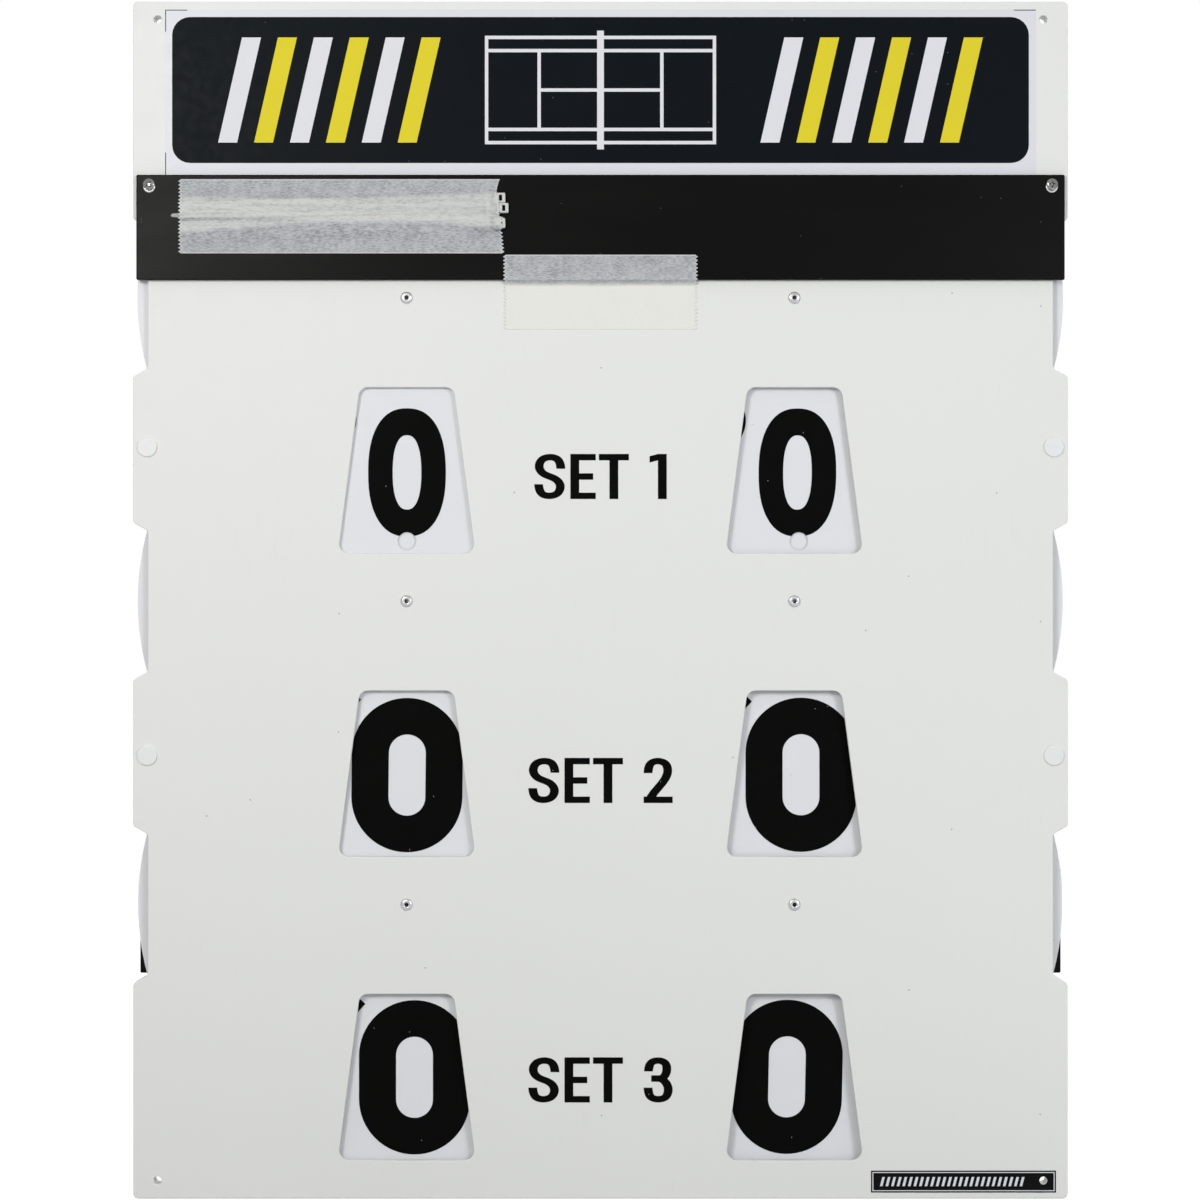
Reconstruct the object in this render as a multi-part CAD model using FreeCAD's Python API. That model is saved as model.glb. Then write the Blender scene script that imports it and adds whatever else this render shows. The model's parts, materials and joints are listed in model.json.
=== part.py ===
import FreeCAD, Part
import math
import os
from collections import namedtuple

Vector = FreeCAD.Vector

# Tennis scoreboard: two sheets with six turning number discs between them.
# Millimetres. X runs to the right as the board is read, Y runs through it from front to back, Z is up.
# The origin is the middle of the four tie holes, on the rear face of the back panel.

# Board
board_width = 468.6
board_height = 600.0
front_sheet = 3.0
back_sheet = 3.0
board_corner_radius = 2.5
overrun = 5.0

# Number discs, as large as the room below the name strip lets them be
row_count = 3
first_row_gap = 8.7
disc_foot = 11.9
rim_inset = 1.7
neighbour_gap = 7.7
disc_sheet = 0.5
layer_gap = 0.3
overlapping_rows = 2
peg_hole_radius = 4.4
peg_hole_inset = 13.6

# Pivots
rivet_radius = 1.6
rivet_flange_radius = 3.0
rivet_flange_height = 1.0
rivet_bore_radius = 1.0
rivet_tail_radius = 2.7
rivet_tail_length = 3.2
stub_radius = 0.9
stub_length = 6.0
stub_head_radius = 1.5
stub_head_length = 1.4
bush_radius = 4.0
washer_radius = 9.0
backing_washer_radius = 4.5
backing_washer_height = 0.8
rivet_clearance = 0.1
running_clearance = 0.05
washer_clearance = 0.1

# Windows, as shares of the disc's radius
window_top_share = 0.3471
window_bottom_share = 0.5081
window_height_share = 0.6152
window_drop_share = 0.3316
window_corner_radius = 4.8

# Finger notches
notch_mouth_height = 79.0
notch_floor_height = 70.6
notch_depth = 7.4
notch_mouth_radius = 2.0
notch_floor_radius = 2.5

# Cap fasteners in the ears between the notches
ear_offset = 1.25
ear_inset = 7.1
ear_cap_radius = 5.0
ear_cap_height = 1.2
ear_cap_edge = 0.5
ear_barrel_radius = 2.5
ear_screw_radius = 1.5
ear_screw_head_radius = 4.5
ear_screw_head_height = 1.2
ear_slot_width = 1.0
ear_slot_depth = 0.6
ear_spacer_radius = 6.0
ear_clearance = 0.1

# Tie holes and their spacers
tie_hole_side_inset = 12.3
tie_hole_end_inset = 9.0
tie_hole_radius = 2.0
tie_spacer_radius = 7.0

# Name strip and its screws
strip_side_inset = 2.0
strip_height = 52.6
strip_sheet = 3.0
strip_drop = 87.2
strip_corner_radius = 0.8
strip_screw_inset = 6.5
strip_screw_drop = 5.0
screw_radius = 1.5
screw_head_radius = 2.9
screw_head_height = 2.0
screw_recess_width = 0.8
screw_recess_length = 3.0
screw_recess_depth = 1.0
screw_end = 1.0
screw_clearance = 0.1
screw_spacer_radius = 3.6
nut_flats = 5.5
nut_height = 2.4
nut_washer_radius = 3.5
nut_washer_height = 0.5

# Strip behind the lowest row
rear_strip_rise = 17.1

# Header sticker
header_side_inset = 16.0
header_top_drop = 4.0
header_film = 0.12
header_gap = 0.3

# Corner label
label_width = 92.7
label_height = 11.0
label_film = 0.12
label_side_inset = 6.0
label_bottom_inset = 3.0

# Cut vinyl numerals, as shares of the disc's radius, then of their own height: width, upright and level stroke
vinyl_film = 0.1
numeral_reach_share = 0.6455
wide_height_share = 0.5731
wide_zero_shares = (0.719, 0.240, 0.237)
wide_shares = (0.719, 0.193, 0.174)
narrow_height_share = 0.4756
narrow_zero_shares = (0.606, 0.191, 0.210)
narrow_shares = (0.606, 0.168, 0.155)
# Height of the other figures as a share of the zero's, and how full the ovals are: 2 is an ellipse
figure_height_share = 0.93
oval_power = 2.35
oval_steps = 32

# Cut vinyl lettering
letter_height = 22.6
letter_upright = 4.4
letter_level = 3.2
letter_s_width = 15.5
letter_e_width = 12.7
letter_t_width = 15.0
letter_figure_width = 14.5
letter_e_gap = 2.6
letter_t_gap = 1.6
word_gap = 10.4
# How far each label hangs below the middle of its windows
lettering_sags = {1: 3.05, 2: 3.3, 3: 1.3}

# Masking tape and cable ties
tape_film = 0.15
tape_width = 37.1
long_tape_length = 158.6
long_tape_side_inset = 21.0
long_tape_top_inset = 2.3
tape_ramp = 3.0
tape_clearance = 0.3
short_tape_length = 97.7
short_tape_lap = 12.5
tie_strap_width = 2.5
tie_strap_height = 1.1
tie_length = 166.5
tie_trim = 6.0
tie_tip_length = 5.0
tie_tip_width = 1.8
tie_head_length = 4.8
tie_head_width = 5.0
tie_head_height = 3.2
tie_slot_length = 1.5
tie_slot_width = 2.9
tie_first_drop = 11.9
tie_second_step = 5.1
tie_third_step = 7.5
tie_stagger = 1.6
tie_tilt_degrees = 1.2

# How far each disc is turned from its zero straight down, counted towards the right at the bottom
seen_turn_degrees = {
    (1, "left"): 0.0, (1, "right"): 1.2,
    (2, "left"): 0.0, (2, "right"): 2.4,
    (3, "left"): 2.4, (3, "right"): -2.2,
}
# How far each zero is stuck on out of line with its disc's turn
zero_lean_degrees = {
    (1, "left"): 0.0, (1, "right"): -1.6,
    (2, "left"): -0.6, (2, "right"): -2.4,
    (3, "left"): -2.4, (3, "right"): 1.0,
}

# Strokes of the characters, as shares of the reach of their centrelines from the middle of the cell
s_half_shares = ((1.0, 0.40), (0.98, 0.54), (0.72, 0.87), (0.0, 1.0), (-0.76, 0.82), (-0.95, 0.49),
                 (-0.60, 0.17))
two_shares = ((-1.0, 0.38), (-0.98, 0.53), (-0.72, 0.87), (0.0, 1.0), (0.78, 0.82), (0.94, 0.46), (0.62, 0.03),
              (-0.86, -1.16))
three_upper_shares = ((-0.96, 0.44), (-0.94, 0.57), (-0.68, 0.88), (0.0, 1.0), (0.72, 0.84), (0.86, 0.54),
                      (0.58, 0.18), (-0.04, 0.07))
three_lower_shares = ((-0.14, 0.07), (0.64, -0.08), (1.0, -0.49), (0.74, -0.87), (0.0, -1.0), (-0.72, -0.87),
                      (-0.98, -0.54), (-1.0, -0.40))
three_waist_share = 0.07
three_inset_share = 0.24
three_lap_share = 0.03
five_shares = ((-0.62, -0.10), (-0.28, 0.16), (0.22, 0.22), (0.80, 0.0), (1.0, -0.42), (0.74, -0.86),
               (0.0, -1.0), (-0.72, -0.87), (-0.98, -0.55), (-1.0, -0.42))
six_shares = ((-1.0, -0.40), (-0.96, 0.14), (-0.64, 0.74), (0.0, 1.0), (0.68, 0.86), (0.92, 0.58), (0.94, 0.46))
six_bowl_share = 0.60
eight_bowl_share = 0.55
eight_top_share = 0.88
one_width_share = 1.95
one_flag_share = 0.05
one_flag_level_share = 1.0
e_middle_share = 0.9
four_stem_share = 0.32
four_bar_share = 0.20
four_slant_share = 1.15
five_stem_share = 0.38
five_head_share = 0.36
seven_foot_share = 0.34
seven_slant_share = 1.15
wide_figure_shares = {2: 0.86, 3: 0.88, 4: 0.92, 5: 0.88, 6: 0.98, 7: 0.72}
narrow_figure_shares = {2: 0.94, 3: 0.96, 4: 1.0, 5: 0.94, 6: 1.0, 7: 0.90, 8: 1.0, 9: 1.0}
ribbon_steps = 40

# Worked out from the values above
sets = tuple(range(1, row_count + 1))
sides = ("left", "right")
layers = row_count + overlapping_rows * (len(sides) - 1)
layer_pitch = disc_sheet + layer_gap
disc_space = layers * layer_pitch + layer_gap
rear_face = 0.0
back_inner = rear_face - back_sheet
front_inner = back_inner - disc_space
front_face = front_inner - front_sheet
strip_face = front_face - strip_sheet
strip_width = board_width - 2 * strip_side_inset
strip_top = board_height / 2 - strip_drop
strip_bottom = strip_top - strip_height
header_width = board_width - 2 * header_side_inset
tie_hole_width = board_width - 2 * tie_hole_side_inset
tie_hole_height = board_height - 2 * tie_hole_end_inset
ear_side = board_width / 2 - ear_inset
screw_side = strip_width / 2 - strip_screw_inset
screw_level = strip_top - strip_screw_drop
bush_bore = rivet_radius + rivet_clearance

# A disc clears the washers of the next pivot below it and beside it, and the lower and side edges of the board
neighbour_room = washer_radius + neighbour_gap
first_row = strip_bottom - first_row_gap
rows_room = first_row + board_height / 2 - disc_foot
columns_room = board_width - 2 * rim_inset
tallest_radius = (rows_room - (row_count - 1) * neighbour_room) / row_count
widest_radius = (columns_room - neighbour_room) / (len(sides) + 1)
disc_radius = min(tallest_radius, widest_radius)
row_pitch = (rows_room - disc_radius) / (row_count - 1)
column_pitch = columns_room - 2 * disc_radius
peg_hole_reach = disc_radius - peg_hole_inset

# Windows and numerals follow the disc
window_top_width = disc_radius * window_top_share
window_bottom_width = disc_radius * window_bottom_share
window_height = disc_radius * window_height_share
window_drop = disc_radius * window_drop_share
numeral_reach = disc_radius * numeral_reach_share
wide_height = disc_radius * wide_height_share
narrow_height = disc_radius * narrow_height_share
lettering_drop = window_drop + window_height / 2

Cell = namedtuple("Cell", "width height upright level")
parts = {}


def pivot_x(side):
    """Distance of a disc's centre from the board's middle line, signed."""
    return column_pitch / 2 if side == "right" else -column_pitch / 2


def pivot_z(row):
    """Height of a row of disc centres."""
    return first_row - sets.index(row) * row_pitch


def layer_of(row, side):
    """Place of a disc in the stack from the front: behind the disc above it, clear of its neighbours."""
    return sets.index(row) + overlapping_rows * sides.index(side)


def disc_front(row, side):
    """Depth of a disc's front face."""
    return front_inner + layer_of(row, side) * layer_pitch + layer_gap


def pivots():
    """Row and side of each disc, from the top row down."""
    return [(row, side) for row in sets for side in sides]


def group(shapes):
    """Several separate solids as one shape."""
    return Part.makeCompound(list(shapes))


def rod(x, z, radius, y_front, y_back):
    """Cylinder through the board's depth."""
    return Part.makeCylinder(radius, y_back - y_front, Vector(x, y_front, z), Vector(0, 1, 0))


def ring(x, z, radius, bore, y_front, y_back):
    """Tube through the board's depth."""
    return rod(x, z, radius, y_front, y_back).cut(rod(x, z, bore, y_front - overrun, y_back + overrun))


def block(x_low, x_high, y_low, y_high, z_low, z_high):
    """Box between two corners."""
    return Part.makeBox(x_high - x_low, y_high - y_low, z_high - z_low, Vector(x_low, y_low, z_low))


def rounded_plate(corners, y_front, y_back):
    """Flat plate from corner points (x, z, radius), listed in order around its outline."""
    edges = []
    ends = []
    for index, (x, z, radius) in enumerate(corners):
        here = Vector(x, y_front, z)
        before = corners[index - 1]
        after = corners[(index + 1) % len(corners)]
        into = (Vector(before[0], y_front, before[1]) - here).normalize()
        out = (Vector(after[0], y_front, after[1]) - here).normalize()
        half = into.getAngle(out) / 2
        start = here + into * (radius / math.tan(half))
        end = here + out * (radius / math.tan(half))
        bisector = (into + out).normalize()
        middle = here + bisector * (radius / math.sin(half) - radius)
        edges.append(Part.Arc(start, middle, end).toShape())
        ends.append((start, end))
    outline = []
    for index, edge in enumerate(edges):
        outline.append(edge)
        outline.append(Part.makeLine(ends[index][1], ends[(index + 1) % len(ends)][0]))
    return Part.Face(Part.Wire(outline)).extrude(Vector(0, y_back - y_front, 0))


def rectangle(x_low, x_high, z_low, z_high, radius):
    """Corner points of a rectangle with equal corner radii."""
    return [(x_low, z_low, radius), (x_high, z_low, radius), (x_high, z_high, radius), (x_low, z_high, radius)]


def prism(points, x_low, x_high):
    """Bar along X with a section given as (y, z) points."""
    corners = [Vector(x_low, y, z) for y, z in points]
    return Part.Face(Part.makePolygon(corners + corners[:1])).extrude(Vector(x_high - x_low, 0, 0))


def turned(shape, x, z, degrees):
    """The shape turned about the depth axis through (x, z), counted towards the right at the bottom."""
    copy = shape.copy()
    copy.rotate(Vector(x, 0, z), Vector(0, -1, 0), degrees)
    return copy


def ear_places():
    """Centres of the cap fasteners."""
    reach = row_pitch / 2 + ear_offset
    levels = (pivot_z(sets[1]) + reach, pivot_z(sets[1]) - reach)
    return [(x, z) for z in levels for x in (-ear_side, ear_side)]


def tie_places():
    """Centres of the four tie holes."""
    return [(x, z) for z in (tie_hole_height / 2, -tie_hole_height / 2)
            for x in (-tie_hole_width / 2, tie_hole_width / 2)]


def screw_places():
    """Centres of the name strip's screws."""
    return [(-screw_side, screw_level), (screw_side, screw_level)]


def sheet_outline():
    """Corner points of both panels: a rectangle with finger notches in its sides."""
    side = board_width / 2
    right = [(side, -board_height / 2, board_corner_radius)]
    for row in reversed(sets):
        level = pivot_z(row)
        right.append((side, level - notch_mouth_height / 2, notch_mouth_radius))
        right.append((side - notch_depth, level - notch_floor_height / 2, notch_floor_radius))
        right.append((side - notch_depth, level + notch_floor_height / 2, notch_floor_radius))
        right.append((side, level + notch_mouth_height / 2, notch_mouth_radius))
    right.append((side, board_height / 2, board_corner_radius))
    left = [(-x, z, radius) for x, z, radius in reversed(right)]
    return right + left


def panel_holes(y_front, y_back):
    """Holes that both panels share."""
    low, high = y_front - overrun, y_back + overrun
    holes = [rod(pivot_x(side), pivot_z(row), bush_bore, low, high) for row, side in pivots()]
    holes += [rod(x, z, ear_barrel_radius + ear_clearance, low, high) for x, z in ear_places()]
    holes += [rod(x, z, tie_hole_radius, low, high) for x, z in tie_places()]
    holes += [rod(x, z, screw_radius + screw_clearance, low, high) for x, z in screw_places()]
    return holes


def window_cut(row, side):
    """Trapezoid window over the lowest number of a disc."""
    x = pivot_x(side)
    top = pivot_z(row) - window_drop
    bottom = top - window_height
    corners = [
        (x - window_bottom_width / 2, bottom, window_corner_radius),
        (x + window_bottom_width / 2, bottom, window_corner_radius),
        (x + window_top_width / 2, top, window_corner_radius),
        (x - window_top_width / 2, top, window_corner_radius),
    ]
    return rounded_plate(corners, front_face - overrun, front_inner + overrun)


def make_panels():
    """Front panel with its windows, and the back panel that closes the disc space."""
    windows = [window_cut(row, side) for row, side in pivots()]
    front = rounded_plate(sheet_outline(), front_face, front_inner)
    parts["front_panel"] = front.cut(windows + panel_holes(front_face, front_inner))
    back = rounded_plate(sheet_outline(), back_inner, rear_face)
    parts["back_panel"] = back.cut(panel_holes(back_inner, rear_face))


def make_discs():
    """Number discs, overlapping ones in layers of their own, the first row's with a hole at the zero's foot."""
    for row, side in pivots():
        x, z, front = pivot_x(side), pivot_z(row), disc_front(row, side)
        disc = ring(x, z, disc_radius, bush_radius + running_clearance, front, front + disc_sheet)
        if row == sets[0]:
            disc = disc.cut(peg_hole(row, side))
        parts[f"score_disc_{row}_{side}"] = disc


def peg_hole(row, side):
    """Cut at the foot of the zero, through the disc and the vinyl on it."""
    x, z, front = pivot_x(side), pivot_z(row), disc_front(row, side)
    hole = rod(x, z - peg_hole_reach, peg_hole_radius, front - overrun, front + overrun)
    return turned(hole, x, z, seen_turn_degrees[(row, side)])


def make_pivots():
    """Bush, washers, rivet, backing washer and mandrel stub of each disc."""
    backing, stubs = [], []
    for row, side in pivots():
        x, z = pivot_x(side), pivot_z(row)
        before = layer_of(row, side)
        after = layers - 1 - before
        parts[f"pivot_bush_{row}_{side}"] = ring(x, z, bush_radius, bush_bore, front_inner, back_inner)

        starts = [front_inner + step * layer_pitch for step in range(before)]
        starts += [back_inner - (step + 1) * layer_pitch for step in range(after)]
        washer_bore = bush_radius + washer_clearance
        washers = [ring(x, z, washer_radius, washer_bore, start, start + layer_pitch) for start in starts]
        parts[f"spacer_washers_{row}_{side}"] = group(washers)

        seat = rear_face + (strip_sheet if row == sets[-1] else 0)
        tail = seat + backing_washer_height
        backing.append(ring(x, z, backing_washer_radius, bush_bore, seat, tail))
        parts[f"pivot_rivet_{row}_{side}"] = rivet(x, z, tail)
        stubs.append(mandrel_stub(x, z, tail + rivet_tail_length))
    parts["backing_washers"] = group(backing)
    parts["mandrel_stubs"] = group(stubs)


def rivet(x, z, tail):
    """Blind rivet with a low domed flange in front and a set tail behind."""
    end = tail + rivet_tail_length
    rise = rivet_flange_height
    sphere_radius = (rivet_flange_radius ** 2 + rise ** 2) / (2 * rise)
    centre = Vector(x, front_face - rise + sphere_radius, z)
    dome = Part.makeSphere(sphere_radius, centre)
    flange = dome.common(rod(x, z, rivet_flange_radius, front_face - rise, front_face))
    shank = rod(x, z, rivet_radius, front_face, end)
    bulb = rod(x, z, rivet_tail_radius, tail, end)
    body = flange.fuse([shank, bulb]).removeSplitter()
    return body.cut(rod(x, z, rivet_bore_radius, front_face - overrun, end + overrun))


def mandrel_stub(x, z, end):
    """Broken-off mandrel that stays inside the rivet's tail."""
    pin = rod(x, z, stub_radius, end - stub_length, end)
    head = rod(x, z, stub_head_radius, end, end + stub_head_length)
    return pin.fuse(head).removeSplitter()


def make_ears():
    """Two-piece plastic cap fasteners and the spacers that they clamp."""
    posts, screws, spacers = [], [], []
    for x, z in ear_places():
        cap = rod(x, z, ear_cap_radius, front_face - ear_cap_height, front_face)
        rim = [edge for edge in cap.Edges if abs(edge.CenterOfMass.y - cap.BoundBox.YMin) < ear_cap_edge / 2]
        cap = cap.makeFillet(ear_cap_edge, rim)
        barrel = rod(x, z, ear_barrel_radius, front_face, rear_face)
        thread = rod(x, z, ear_screw_radius + ear_clearance, front_inner, rear_face + overrun)
        posts.append(cap.fuse(barrel).removeSplitter().cut(thread))

        shank = rod(x, z, ear_screw_radius, back_inner - disc_space / 2, rear_face)
        head = rod(x, z, ear_screw_head_radius, rear_face, rear_face + ear_screw_head_height)
        head_back = rear_face + ear_screw_head_height
        slot = block(x - ear_cap_radius, x + ear_cap_radius, head_back - ear_slot_depth, head_back + overrun,
                     z - ear_slot_width / 2, z + ear_slot_width / 2)
        screws.append(shank.fuse(head).removeSplitter().cut(slot))
        bore = ear_barrel_radius + ear_clearance
        spacers.append(ring(x, z, ear_spacer_radius, bore, front_inner, back_inner))
    parts["ear_cap_posts"] = group(posts)
    parts["ear_cap_screws"] = group(screws)
    parts["ear_spacers"] = group(spacers)


def make_tie_spacers():
    """Tubes that keep the panels apart where the ties pull."""
    spacers = [ring(x, z, tie_spacer_radius, tie_hole_radius, front_inner, back_inner)
               for x, z in tie_places()]
    parts["tie_hole_spacers"] = group(spacers)


def make_name_strip():
    """Black name strip, and the screws that hold it through both panels."""
    outline = rectangle(-strip_width / 2, strip_width / 2, strip_bottom, strip_top, strip_corner_radius)
    strip = rounded_plate(outline, strip_face, front_face)
    bore = screw_radius + screw_clearance
    parts["name_strip"] = strip.cut([rod(x, z, bore, strip_face - overrun, front_face + overrun)
                                     for x, z in screw_places()])

    screws, spacers, washers, nuts = [], [], [], []
    washer_back = rear_face + nut_washer_height
    nut_back = washer_back + nut_height
    for x, z in screw_places():
        screws.append(pan_screw(x, z, nut_back + screw_end))
        spacers.append(ring(x, z, screw_spacer_radius, bore, front_inner, back_inner))
        washers.append(ring(x, z, nut_washer_radius, bore, rear_face, washer_back))
        nuts.append(hex_nut(x, z, bore, washer_back, nut_back))
    parts["name_strip_screws"] = group(screws)
    parts["name_strip_spacers"] = group(spacers)
    parts["name_strip_washers"] = group(washers)
    parts["name_strip_nuts"] = group(nuts)


def pan_screw(x, z, end):
    """Pan head screw with a cross recess."""
    head_front = strip_face - screw_head_height
    head = rod(x, z, screw_head_radius, head_front, strip_face)
    rim = [edge for edge in head.Edges if abs(edge.CenterOfMass.y - head_front) < screw_head_height / 2
           and len(edge.Vertexes) == 1]
    head = head.makeFillet(screw_head_height / 2, rim)
    body = head.fuse(rod(x, z, screw_radius, strip_face, end)).removeSplitter()
    long, thin = screw_recess_length / 2, screw_recess_width / 2
    floor = head_front + screw_recess_depth
    arms = [block(x - long, x + long, head_front - overrun, floor, z - thin, z + thin),
            block(x - thin, x + thin, head_front - overrun, floor, z - long, z + long)]
    return body.cut(arms)


def hex_nut(x, z, bore, y_front, y_back):
    """Hexagon nut across the given flats."""
    reach = nut_flats / math.sqrt(3)
    corners = [Vector(x + reach * math.cos(math.radians(60 * step)), y_front,
                      z + reach * math.sin(math.radians(60 * step))) for step in range(6)]
    hexagon = Part.Face(Part.makePolygon(corners + corners[:1]))
    body = hexagon.extrude(Vector(0, y_back - y_front, 0))
    return body.cut(rod(x, z, bore, y_front - overrun, y_back + overrun))


def make_rear_strip():
    """Black strip across the back, held by the rivets of the lowest row."""
    level = pivot_z(sets[-1])
    top = level + rear_strip_rise
    outline = rectangle(-strip_width / 2, strip_width / 2, top - strip_height, top, strip_corner_radius)
    back = rear_face + strip_sheet
    strip = rounded_plate(outline, rear_face, back)
    holes = [rod(pivot_x(side), level, bush_bore, rear_face - overrun, back + overrun) for side in sides]
    parts["rear_strip"] = strip.cut(holes)


def make_stickers():
    """Header sticker above the name strip, and the small label in the lower right corner."""
    top = board_height / 2 - header_top_drop
    parts["header_sticker"] = block(-header_width / 2, header_width / 2, front_face - header_film, front_face,
                                    strip_top + header_gap, top)
    right = board_width / 2 - label_side_inset
    bottom = -board_height / 2 + label_bottom_inset
    label = block(right - label_width, right, front_face - label_film, front_face,
                  bottom, bottom + label_height)
    holes = [rod(x, z, tie_hole_radius, front_face - overrun, front_face + overrun) for x, z in tie_places()]
    parts["corner_label"] = label.cut(holes)


def flat(points):
    """Face in the plane of the board from (x, z) points."""
    corners = [Vector(x, 0, z) for x, z in points]
    return Part.Face(Part.makePolygon(corners + corners[:1]))


def bar(x_low, x_high, z_low, z_high):
    """Straight stroke as a face."""
    return flat([(x_low, z_low), (x_high, z_low), (x_high, z_high), (x_low, z_high)])


def ribbon(shares, cell):
    """Curved stroke whose centreline runs through shares of the cell's reach."""
    across = (cell.width - cell.upright) / 2
    along = (cell.height - cell.level) / 2
    line = Part.BSplineCurve()
    line.interpolate([Vector(u * across, 0, v * along) for u, v in shares])
    span = line.LastParameter - line.FirstParameter
    one_side, other_side = [], []
    for step in range(ribbon_steps + 1):
        place = line.FirstParameter + span * step / ribbon_steps
        tangent = line.tangent(place)[0]
        half = math.hypot(cell.upright * tangent.z, cell.level * tangent.x) / 2
        offset = Vector(-tangent.z, 0, tangent.x) * half
        one_side.append(line.value(place) + offset)
        other_side.append(line.value(place) - offset)
    edges = []
    for points in (one_side, list(reversed(other_side))):
        curve = Part.BSplineCurve()
        curve.interpolate(points)
        edges.append(curve.toShape())
    first_cap = Part.makeLine(one_side[-1], other_side[-1])
    last_cap = Part.makeLine(other_side[0], one_side[0])
    return Part.Face(Part.Wire([edges[0], first_cap, edges[1], last_cap]))


def oval(z, width, height):
    """Oval face, a little fuller than an ellipse."""
    points = []
    for step in range(oval_steps):
        angle = 2 * math.pi * step / oval_steps
        across, along = [math.copysign(abs(part) ** (2 / oval_power), part)
                         for part in (math.cos(angle), math.sin(angle))]
        points.append(Vector(across * width / 2, 0, z + along * height / 2))
    outline = Part.BSplineCurve()
    outline.interpolate(points, PeriodicFlag=True)
    return Part.Face(Part.Wire(outline.toShape()))


def oval_ring(z, width, height, cell):
    """Closed oval stroke."""
    return oval(z, width, height).cut(oval(z, width - 2 * cell.upright, height - 2 * cell.level))


def stadium(width, height):
    """Upright face with half-round ends."""
    straight = (height - width) / 2
    left, right = -width / 2, width / 2
    edges = [
        Part.makeLine(Vector(right, 0, -straight), Vector(right, 0, straight)),
        Part.Arc(Vector(right, 0, straight), Vector(0, 0, height / 2), Vector(left, 0, straight)).toShape(),
        Part.makeLine(Vector(left, 0, straight), Vector(left, 0, -straight)),
        Part.Arc(Vector(left, 0, -straight), Vector(0, 0, -height / 2), Vector(right, 0, -straight)).toShape(),
    ]
    return Part.Face(Part.Wire(edges))


def stadium_zero(cell):
    """Zero with straight sides."""
    return [stadium(cell.width, cell.height).cut(stadium(cell.width - 2 * cell.upright,
                                                         cell.height - 2 * cell.level))]


def oval_zero(cell):
    """Zero as an oval."""
    return [oval_ring(0, cell.width, cell.height, cell)]


def one(cell):
    """Stem at the right with a slanted flag."""
    right, top = cell.width / 2, cell.height / 2
    stem = right - cell.upright
    tip = top - one_flag_share * cell.height
    thick = one_flag_level_share * cell.level
    return [flat([(right, -top), (right, top), (stem, top), (-right, tip), (-right, tip - thick),
                  (stem, top - thick), (stem, -top)])]


def two(cell):
    """Open bowl, slanted stroke and foot."""
    foot = bar(-cell.width / 2, cell.width / 2, -cell.height / 2, -cell.height / 2 + cell.level)
    below = bar(-cell.width, cell.width, -cell.height, -cell.height / 2)
    return [ribbon(two_shares, cell).cut(below), foot]


def three(cell):
    """Two open bowls."""
    waist = (cell.height - cell.level) / 2 * three_waist_share
    middle = bar(-cell.width * three_inset_share, cell.width * three_lap_share, waist - cell.level / 2,
                 waist + cell.level / 2)
    return [ribbon(three_upper_shares, cell), ribbon(three_lower_shares, cell), middle]


def four(cell):
    """Stem, level bar and slanted stroke."""
    top = cell.height / 2
    left = -cell.width / 2
    stem = cell.width * four_stem_share - cell.upright
    bar_low = -top + cell.height * four_bar_share
    bar_top = bar_low + cell.level
    inner = left + cell.upright * four_slant_share
    slope = (top - bar_top) / (stem - left)
    slant = flat([(stem, top), (left, bar_top), (inner, bar_top), (stem, bar_top + slope * (stem - inner))])
    return [bar(stem, stem + cell.upright, -top, top), bar(left, cell.width / 2, bar_low, bar_top), slant]


def five(cell):
    """Level bar, short stem and bowl."""
    top, left = cell.height / 2, -cell.width * five_stem_share
    head = bar(left, cell.width * five_head_share, top - cell.level, top)
    stem = bar(left, left + cell.upright, -cell.level / 2, top)
    return [head, stem, ribbon(five_shares, cell)]


def six(cell):
    """Closed bowl with an open stroke over it."""
    height = cell.height * six_bowl_share
    bowl = oval_ring((height - cell.height) / 2, cell.width, height, cell)
    return [bowl, ribbon(six_shares, cell)]


def seven(cell):
    """Level bar and slanted stroke."""
    right, top = cell.width / 2, cell.height / 2
    under = top - cell.level
    foot = -cell.width * seven_foot_share
    slant = cell.upright * seven_slant_share
    return [flat([(-right, top), (right, top), (right, under), (foot + slant, -top), (foot, -top),
                  (right - slant, under), (-right, under)])]


def eight(cell):
    """Two closed bowls."""
    height = cell.height * eight_bowl_share
    lower = oval_ring((height - cell.height) / 2, cell.width, height, cell)
    upper = oval_ring((cell.height - height) / 2, cell.width * eight_top_share, height, cell)
    return [lower, upper]


def nine(cell):
    """The six, turned half round."""
    faces = []
    for face in six(cell):
        copy = face.copy()
        copy.rotate(Vector(0, 0, 0), Vector(0, 1, 0), 180)
        faces.append(copy)
    return faces


def letter_s(cell):
    """Double curve, alike about its middle."""
    back_shares = [(-u, -v) for u, v in reversed(s_half_shares)]
    return [ribbon(list(s_half_shares) + [(0.0, 0.0)] + back_shares, cell)]


def letter_e(cell):
    """Stem and three level bars, the middle one shorter."""
    left, top = -cell.width / 2, cell.height / 2
    short = cell.width * e_middle_share
    rows = ((cell.level / 2 - top, cell.width), (0, short), (top - cell.level / 2, cell.width))
    bars = [bar(left, left + length, z - cell.level / 2, z + cell.level / 2) for z, length in rows]
    return bars + [bar(left, left + cell.upright, -top, top)]


def letter_t(cell):
    """Stem and top bar."""
    top = cell.height / 2
    return [bar(-cell.upright / 2, cell.upright / 2, -top, top),
            bar(-cell.width / 2, cell.width / 2, top - cell.level, top)]


figures = {1: one, 2: two, 3: three, 4: four, 5: five, 6: six, 7: seven, 8: eight, 9: nine}


def cut_vinyl(faces):
    """One character as a thin solid, with its back on the plane of the board."""
    solids = [face.extrude(Vector(0, -vinyl_film, 0)) for face in faces]
    return solids[0].fuse(solids[1:]).removeSplitter() if len(solids) > 1 else solids[0]


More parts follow.
